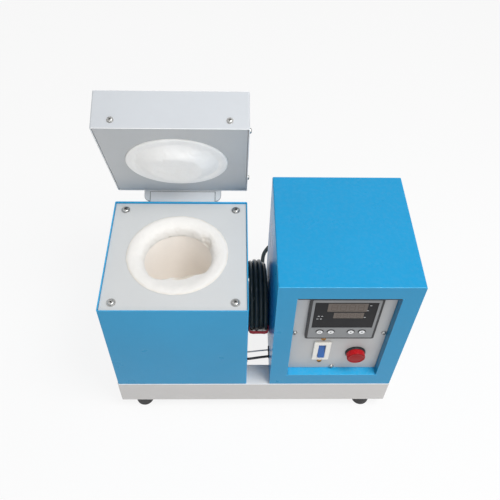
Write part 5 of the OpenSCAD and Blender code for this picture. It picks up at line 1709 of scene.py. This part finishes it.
@dataclass
class Controller:
    """The panel temperature controller: bezel, grey film, dark window, displays and keys."""

    rim: float = 3.3
    film: float = 0.25
    film_r: float = 1.6
    window_w: float = 82.0
    window_h: float = 58.5
    window_z: float = 28.7
    window_gap: float = 0.4
    window_r: float = 0.6
    bar_w: float = 0.9
    bar_thick: float = 0.1
    digits: int = 4
    mark_l: float = 2.6
    mark_thick: float = 0.12
    marks: Profile = ((-34.0, 55.5), (-29.5, 55.5), (-35.0, 49.0), (-30.5, 49.0), (31.5, 80.0),
                      (29.0, 68.5), (27.5, 53.0))
    key_sides: int = 48
    key_d: float = 10.0
    key_z: float = 18.6
    key_gap: float = 0.5
    hole_sides: int = 40
    key_xs: tuple[float, ...] = (-29.0, -13.7, 13.7, 29.0)
    sign_sides: int = 32
    sign_r: float = 1.7
    sign_line: float = 0.6
    sign_thick: float = 0.1
    sign_turns: tuple[float, ...] = (0.0, math.pi, -math.pi / 2, math.pi / 2)

    def __post_init__(self) -> None:
        """Takes the bezel's place from the frame."""
        self.low, self.high = Bench.box("controller_bezel")
        self.middle = (self.low.x + self.high.x) / 2
        self.side = self.high.x - self.low.x

    def build(self) -> None:
        """Makes the bezel, the film, the window, the displays and the keys."""
        dressed("controller_bezel", Look.BLACK, "black_plastic", width_mm=0.5, segments=3)
        self._film()
        dressed("controller_window", Look.WINDOW, "window_plastic", width_mm=0.15)
        dressed("controller_display", Look.DISPLAY, "display_plastic", width_mm=0.15)
        tree = display_bar_tree()
        self._digits(tree)
        self._indicators(tree)
        for number in range(1, len(self.key_xs) + 1):
            self._key(number)

    def _film(self) -> None:
        """Lays the grey film on the bezel, open at the window and the keys."""
        size, gap = self.side - 2 * self.rim, self.window_gap
        outline = rounded_outline(size, size, self.film_r, 0, self.side / 2)
        window = rounded_outline(self.window_w + gap, self.window_h + gap, self.window_r, 0,
                                 self.window_z + self.window_h / 2)
        holes = [ring_outline(self.key_d / 2 + self.key_gap, self.hole_sides, x, self.key_z)
                 for x in self.key_xs]
        place = Bench.front_of(self.middle, self.low.y - self.film / 2, self.low.z)
        mesh = outline_plate([outline, window, *holes], self.film, place)
        settle(new_piece("controller_film", mesh, [Look.FILM]), "base", "black_plastic")

    def _digits(self, tree: PlacedCopies) -> None:
        """Places the faint bars of the unlit digits on both displays.

        Args:
            tree: Tree of a flat bar.
        """
        face_y = Bench.box("controller_display")[0].y
        level_bar, upright_bar = Vector((1, 0, 0)), Vector((0, 0, 1))
        for name, mid_x, mid_z, pitch, wide, tall in (
                ("upper_digits", self.middle + 2.0, self.low.z + 75.2, 11.6, 7.4, 13.0),
                ("lower_digits", self.middle + 5.5, self.low.z + 57.0, 8.8, 5.4, 9.0)):
            places = []
            for digit in range(self.digits):
                x = mid_x + (digit - (self.digits - 1) / 2) * pitch
                places += [(Bench.at(x, face_y, mid_z + level * tall / 2), level_bar)
                           for level in (-1, 0, 1)]
                places += [(Bench.at(x + side * wide / 2, face_y, mid_z + half * tall / 4), upright_bar)
                           for side in (-1, 1) for half in (-1, 1)]
            piece = tree.place(name, places, Look.SEGMENT, length=tall / 2 - self.bar_w, width=self.bar_w,
                               thick=self.bar_thick)
            settle(piece, "base", "display_plastic")

    def _indicators(self, tree: PlacedCopies) -> None:
        """Places the small pale marks beside the displays, in two rows at the left and one at the right.

        Args:
            tree: Tree of a flat bar.
        """
        face_y = Bench.box("controller_window")[0].y
        across = Vector((1, 0, 0))
        places = [(Bench.at(self.middle + x, face_y, self.low.z + z), across) for x, z in self.marks]
        piece = tree.place("window_marks", places, Look.KEY, length=self.mark_l, width=self.bar_w,
                           thick=self.mark_thick)
        settle(piece, "base", "display_plastic")

    def _key(self, number: int) -> None:
        """Makes one key with its dark rim, pale face and printed sign.

        Args:
            number: Number of the key from the left.
        """
        body, pale_from = f"key_{number}", 7
        low, high = Bench.box(body)
        cap, r, flange = high.y - low.y, self.key_d / 2, (high.x - low.x) / 2
        profile = [(0, 0), (flange, 0), (flange, 1), (r, 1), (r, cap - 0.7), (r - 0.25, cap - 0.2),
                   (r - 0.45, cap), (r - 0.75, cap), (r - 0.8, cap - 0.1), (r - 1.3, cap - 0.08),
                   (0, cap - 0.02)]
        place = Bench.behind(body)
        mesh = lathe(profile, place, self.key_sides, marks=lambda band: 1 if band >= pale_from else 0)
        settle(new_piece(f"{body}_cap", mesh, [Look.BLACK, Look.KEY]), body, "key_plastic", body)
        outlines = [ring_outline(self.sign_r, 3, turn=self.sign_turns[number - 1])]
        if number == 1:
            outlines = [ring_outline(reach, self.sign_sides)
                        for reach in (self.sign_r, self.sign_r - self.sign_line)]
        on_cap = place @ Matrix.Translation((0, 0, cap - self.sign_thick / 2))
        sign = outline_plate(outlines, self.sign_thick, on_cap)
        settle(new_piece(f"{body}_sign", sign, [Look.INK]), body, "key_plastic")


@dataclass
class SwitchAndLamp:
    """The white switch with its blue rocker, and the red pilot lamp in its black ring."""

    lamp_sides: int = 192
    flutes: int = 32
    flute_deep: float = 0.12
    front_facing: float = -0.3

    def build(self) -> None:
        """Makes the switch and the lamp."""
        dressed("switch_plate", Look.WHITE, "white_plastic", width_mm=0.9, segments=4)
        dressed("switch_body", Look.BLACK, "black_plastic", width_mm=0.3)
        dressed("switch_rocker", Look.ROCKER, "blue_plastic", width_mm=0.4, segments=3, body="rocker")
        dressed("lamp_ring", Look.BLACK, "black_plastic", width_mm=0.5, segments=3)
        self._lens()

    def _lens(self) -> None:
        """Turns the fluted red lens with its stepped front; a lighter red on its side is painted light and
        a darker red on the faces that look ahead is painted shade.
        """
        low, high = Bench.box("lamp_lens")
        h, r = high.y - low.y, (high.x - low.x) / 2
        profile = [(0, 0), (r, 0), (r, h - 2.0), (r, h - 1.5), (r - 0.3, h - 0.7), (r - 1.0, h - 0.15),
                   (r - 1.8, h), (r - 2.6, h - 0.05), (r - 3.0, h - 0.5), (r - 3.6, h - 0.5),
                   (r * 0.45, h - 0.2), (0, h - 0.1)]

        def fluted(angle: float, radius: float, height: float) -> Flat:
            """Cuts fine flutes into the lens's side."""
            cut = -self.flute_deep - self.flute_deep * math.cos(self.flutes * angle)
            return (cut if 0 < height < h - 1 else 0.0), 0.0

        mesh = lathe(profile, Bench.behind("lamp_lens"), self.lamp_sides, fluted)
        lens = new_piece("lamp_lens_fluted", mesh, [Look.LENS, Look.LENS_FACE], sharp_deg=50)
        # Faces that look ahead take the darker red, which is painted shade.
        for face in mesh.polygons:
            face.material_index = 1 if face.normal.y < self.front_facing else 0
        settle(lens, "base", "red_lens", "lamp_lens")


@dataclass
class GapLeads:
    """The dark heater lead and the pale thermocouple lead that cross the gap through their grommets."""

    heater_d: float = 3.8
    probe_d: float = 2.2
    sides: int = 20
    steps: int = 24
    sag: float = 1.6
    wave: float = 0.35
    wave_rate: float = 9.0
    bend: float = 0.35

    def build(self) -> None:
        """Makes both leads along the CAD leads' ends."""
        self._lead("heater_lead", Look.LEAD, "lead_rubber", self.heater_d)
        self._lead("thermocouple_lead", Look.SLEEVE, "pale_sleeve", self.probe_d)

    def _lead(self, node: str, look: Look, slot: str, diameter: float) -> None:
        """Makes one lead: nearly straight from wall to wall, with a small sag.

        Args:
            node: CAD node of the lead.
            look: Its finish.
            slot: Material slot of the record.
            diameter: Its diameter in millimetres.
        """
        low, high = Bench.box(node)
        r = diameter / 2
        start, end = Vector((low.x, low.y + r, high.z - r)), Vector((high.x, high.y - r, high.z - r))
        work = bmesh.new()
        rings = []
        for step in range(self.steps + 1):
            share = step / self.steps
            dip = self.sag * 4 * share * (1 - share) + self.wave * math.sin(self.wave_rate * share)
            aside = self.bend * (ease(share) - share) * (end.y - start.y)
            spot = start.lerp(end, share) + Vector((0, aside, -dip))
            rings.append([work.verts.new(Bench.at(spot.x, y, z))
                          for y, z in ring_outline(r, self.sides, spot.y, spot.z)])
        for near, far in zip(rings, rings[1:]):
            bridge(work, near, far)
        for cap in (rings[0], rings[-1]):
            work.faces.new(cap)
        mesh = closed_mesh(work, node)
        settle(new_piece(f"{node}_laid", mesh, [look], sharp_deg=60), "base", slot, node)


class Hidden:
    """What is inside the boxes: CAD shapes that stay, each with its own finish."""

    LOOKS = {
        "foot_screws": Look.ZINC, "tray_bolts": Look.ZINC, "furnace_floor": Look.ZINC,
        "insulation_shelf": Look.ZINC, "hearth_board": Look.BOARD, "heating_muffle": Look.FIRECLAY,
        "heating_coil": Look.WIRE, "fibre_blanket": Look.BOARD, "thermocouple": Look.ZINC,
        "furnace_terminals": Look.CERAMIC, "lid_blanket": Look.BOARD, "controller_case": Look.BLACK,
        "lamp_body": Look.BLACK, "relay": Look.RELAY, "relay_heatsink": Look.ALUMINIUM,
        "terminal_strip": Look.RELAY, "lead_grommets": Look.RUBBER}

    def build(self) -> None:
        """Dresses each CAD node that stays."""
        for name, look in self.LOOKS.items():
            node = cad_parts[name]
            node.data.materials.clear()
            node.data.materials.append(look.material())
            LOG.info("%s stays as CAD", name)


@dataclass(frozen=True)
class ScrewSet:
    """One mesh of like screws on one body, in millimetres."""

    name: str
    nodes: tuple[str, ...]
    reach: float
    body: str = "base"
    look: Look = Look.ZINC
    slot: str = "zinc_steel"
    head: float = 7.4
    rise: float = 2.4
    shank: float = 4.0
    washer: float = 6.0
    washer_thick: float = 0.1


@dataclass
class Fasteners:
    """Cross-recess screws in zinc and brass, one mesh for each body and size."""

    sets: tuple[ScrewSet, ...] = (
        ScrewSet("plate_screw_set", ("top_plate_screws",), 8.0, head=10.0, shank=5.0, washer=12.6,
                 washer_thick=0.9),
        ScrewSet("panel_screw_set", ("panel_screws",), 5.5),
        ScrewSet("back_screw_set", ("back_screws", "bracket_screws"), 4.5),
        ScrewSet("lid_screw_set", ("lid_screws", "strap_screws"), 5.0, "lid", washer=8.8, washer_thick=0.5),
        ScrewSet("switch_screw_set", ("switch_screws",), 5.0, look=Look.BRASS, slot="brass"))
    recess_share: float = 0.15
    rim_fit: float = 0.02
    cell: float = 0.05
    tip_band: float = 0.4
    rim_share: float = 0.47

    def build(self) -> None:
        """Places the screws where the CAD screws are."""
        tree = cross_screw_tree()
        for batch in self.sets:
            places = [place for node in batch.nodes for place in self._places(node, batch.head)]
            piece = tree.place(batch.name, places, batch.look, spin=math.pi, seed=len(batch.name),
                               head=batch.head, rise=batch.rise, shank=batch.shank, reach=batch.reach,
                               recess=batch.head * self.recess_share, washer=batch.washer,
                               washer_thick=batch.washer_thick)
            settle(piece, batch.body, batch.slot, *batch.nodes)
            LOG.info("%s has %d screws", batch.name, len(places))

    def _places(self, node: str, head: float) -> list[tuple[Vector, Vector]]:
        """Reads where a node's screw heads sit and which way they look.

        Args:
            node: CAD node with one or more screws.
            head: Diameter of their heads in millimetres.

        Returns:
            Seat and outward axis of each screw, in the row frame.
        """
        work = bmesh.new()
        work.from_mesh(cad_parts[node].data)
        bmesh.ops.remove_doubles(work, verts=work.verts, dist=WELD_MM * MM)
        left = set(work.verts)
        places = []
        while left:
            island = self._island(left.pop())
            left -= island
            places.append(self._seat(sorted((v.co.copy() for v in island), key=tuple), head))
        work.free()
        return sorted(places, key=lambda place: tuple(round(c, 6) for c in place[0]))

    @staticmethod
    def _island(first: Vert) -> set[Vert]:
        """Gathers every vertex that is joined to a first one.

        Args:
            first: A vertex of one screw.

        Returns:
            All the vertices of that screw.
        """
        island, edge = {first}, [first]
        while edge:
            beside = [e.other_vert(v) for v in edge for e in v.link_edges]
            edge = [v for v in dict.fromkeys(beside) if v not in island]
            island.update(edge)
        return island

    def _seat(self, points: list[Vector], head: float) -> tuple[Vector, Vector]:
        """Finds one screw's seat and axis from its head and its tip.

        Args:
            points: The screw's points in a fixed order.
            head: Diameter of its head in millimetres.

        Returns:
            The seat and the outward axis.
        """
        cell = self.cell * MM
        across = [(p + q) / 2 for p, q in combinations(points, 2)
                  if abs((p - q).length - head * MM) < self.rim_fit * MM]
        cells = Counter(tuple(round(c / cell) for c in spot) for spot in across)
        centre = Vector(cells.most_common(1)[0][0]) * cell
        longest = max((p - centre).length for p in points)
        near_tip = [p for p in points if (p - centre).length > longest - self.tip_band * MM]
        back = sum(near_tip, Vector()) / len(near_tip)
        axis = (centre - back).normalized()
        along = [(p - back).dot(axis) for p in points]
        rim_r = self.rim_share * head * MM
        wide = [t for p, t in zip(points, along) if (p - back - axis * t).length > rim_r]
        return back + axis * min(wide), axis


def main() -> None:
    """Builds the studio and every sub-assembly in order."""
    logging.basicConfig(level=logging.INFO, format="%(name)s: %(message)s")
    for maker in (PhotoCamera(), MainsCord(), Studio(), FurnaceBox(), SheetMetal(), SoftFibre(),
                  Controller(), SwitchAndLamp(), GapLeads(), Hidden(), Fasteners()):
        maker.build()


if __name__ == "__main__":
    main()
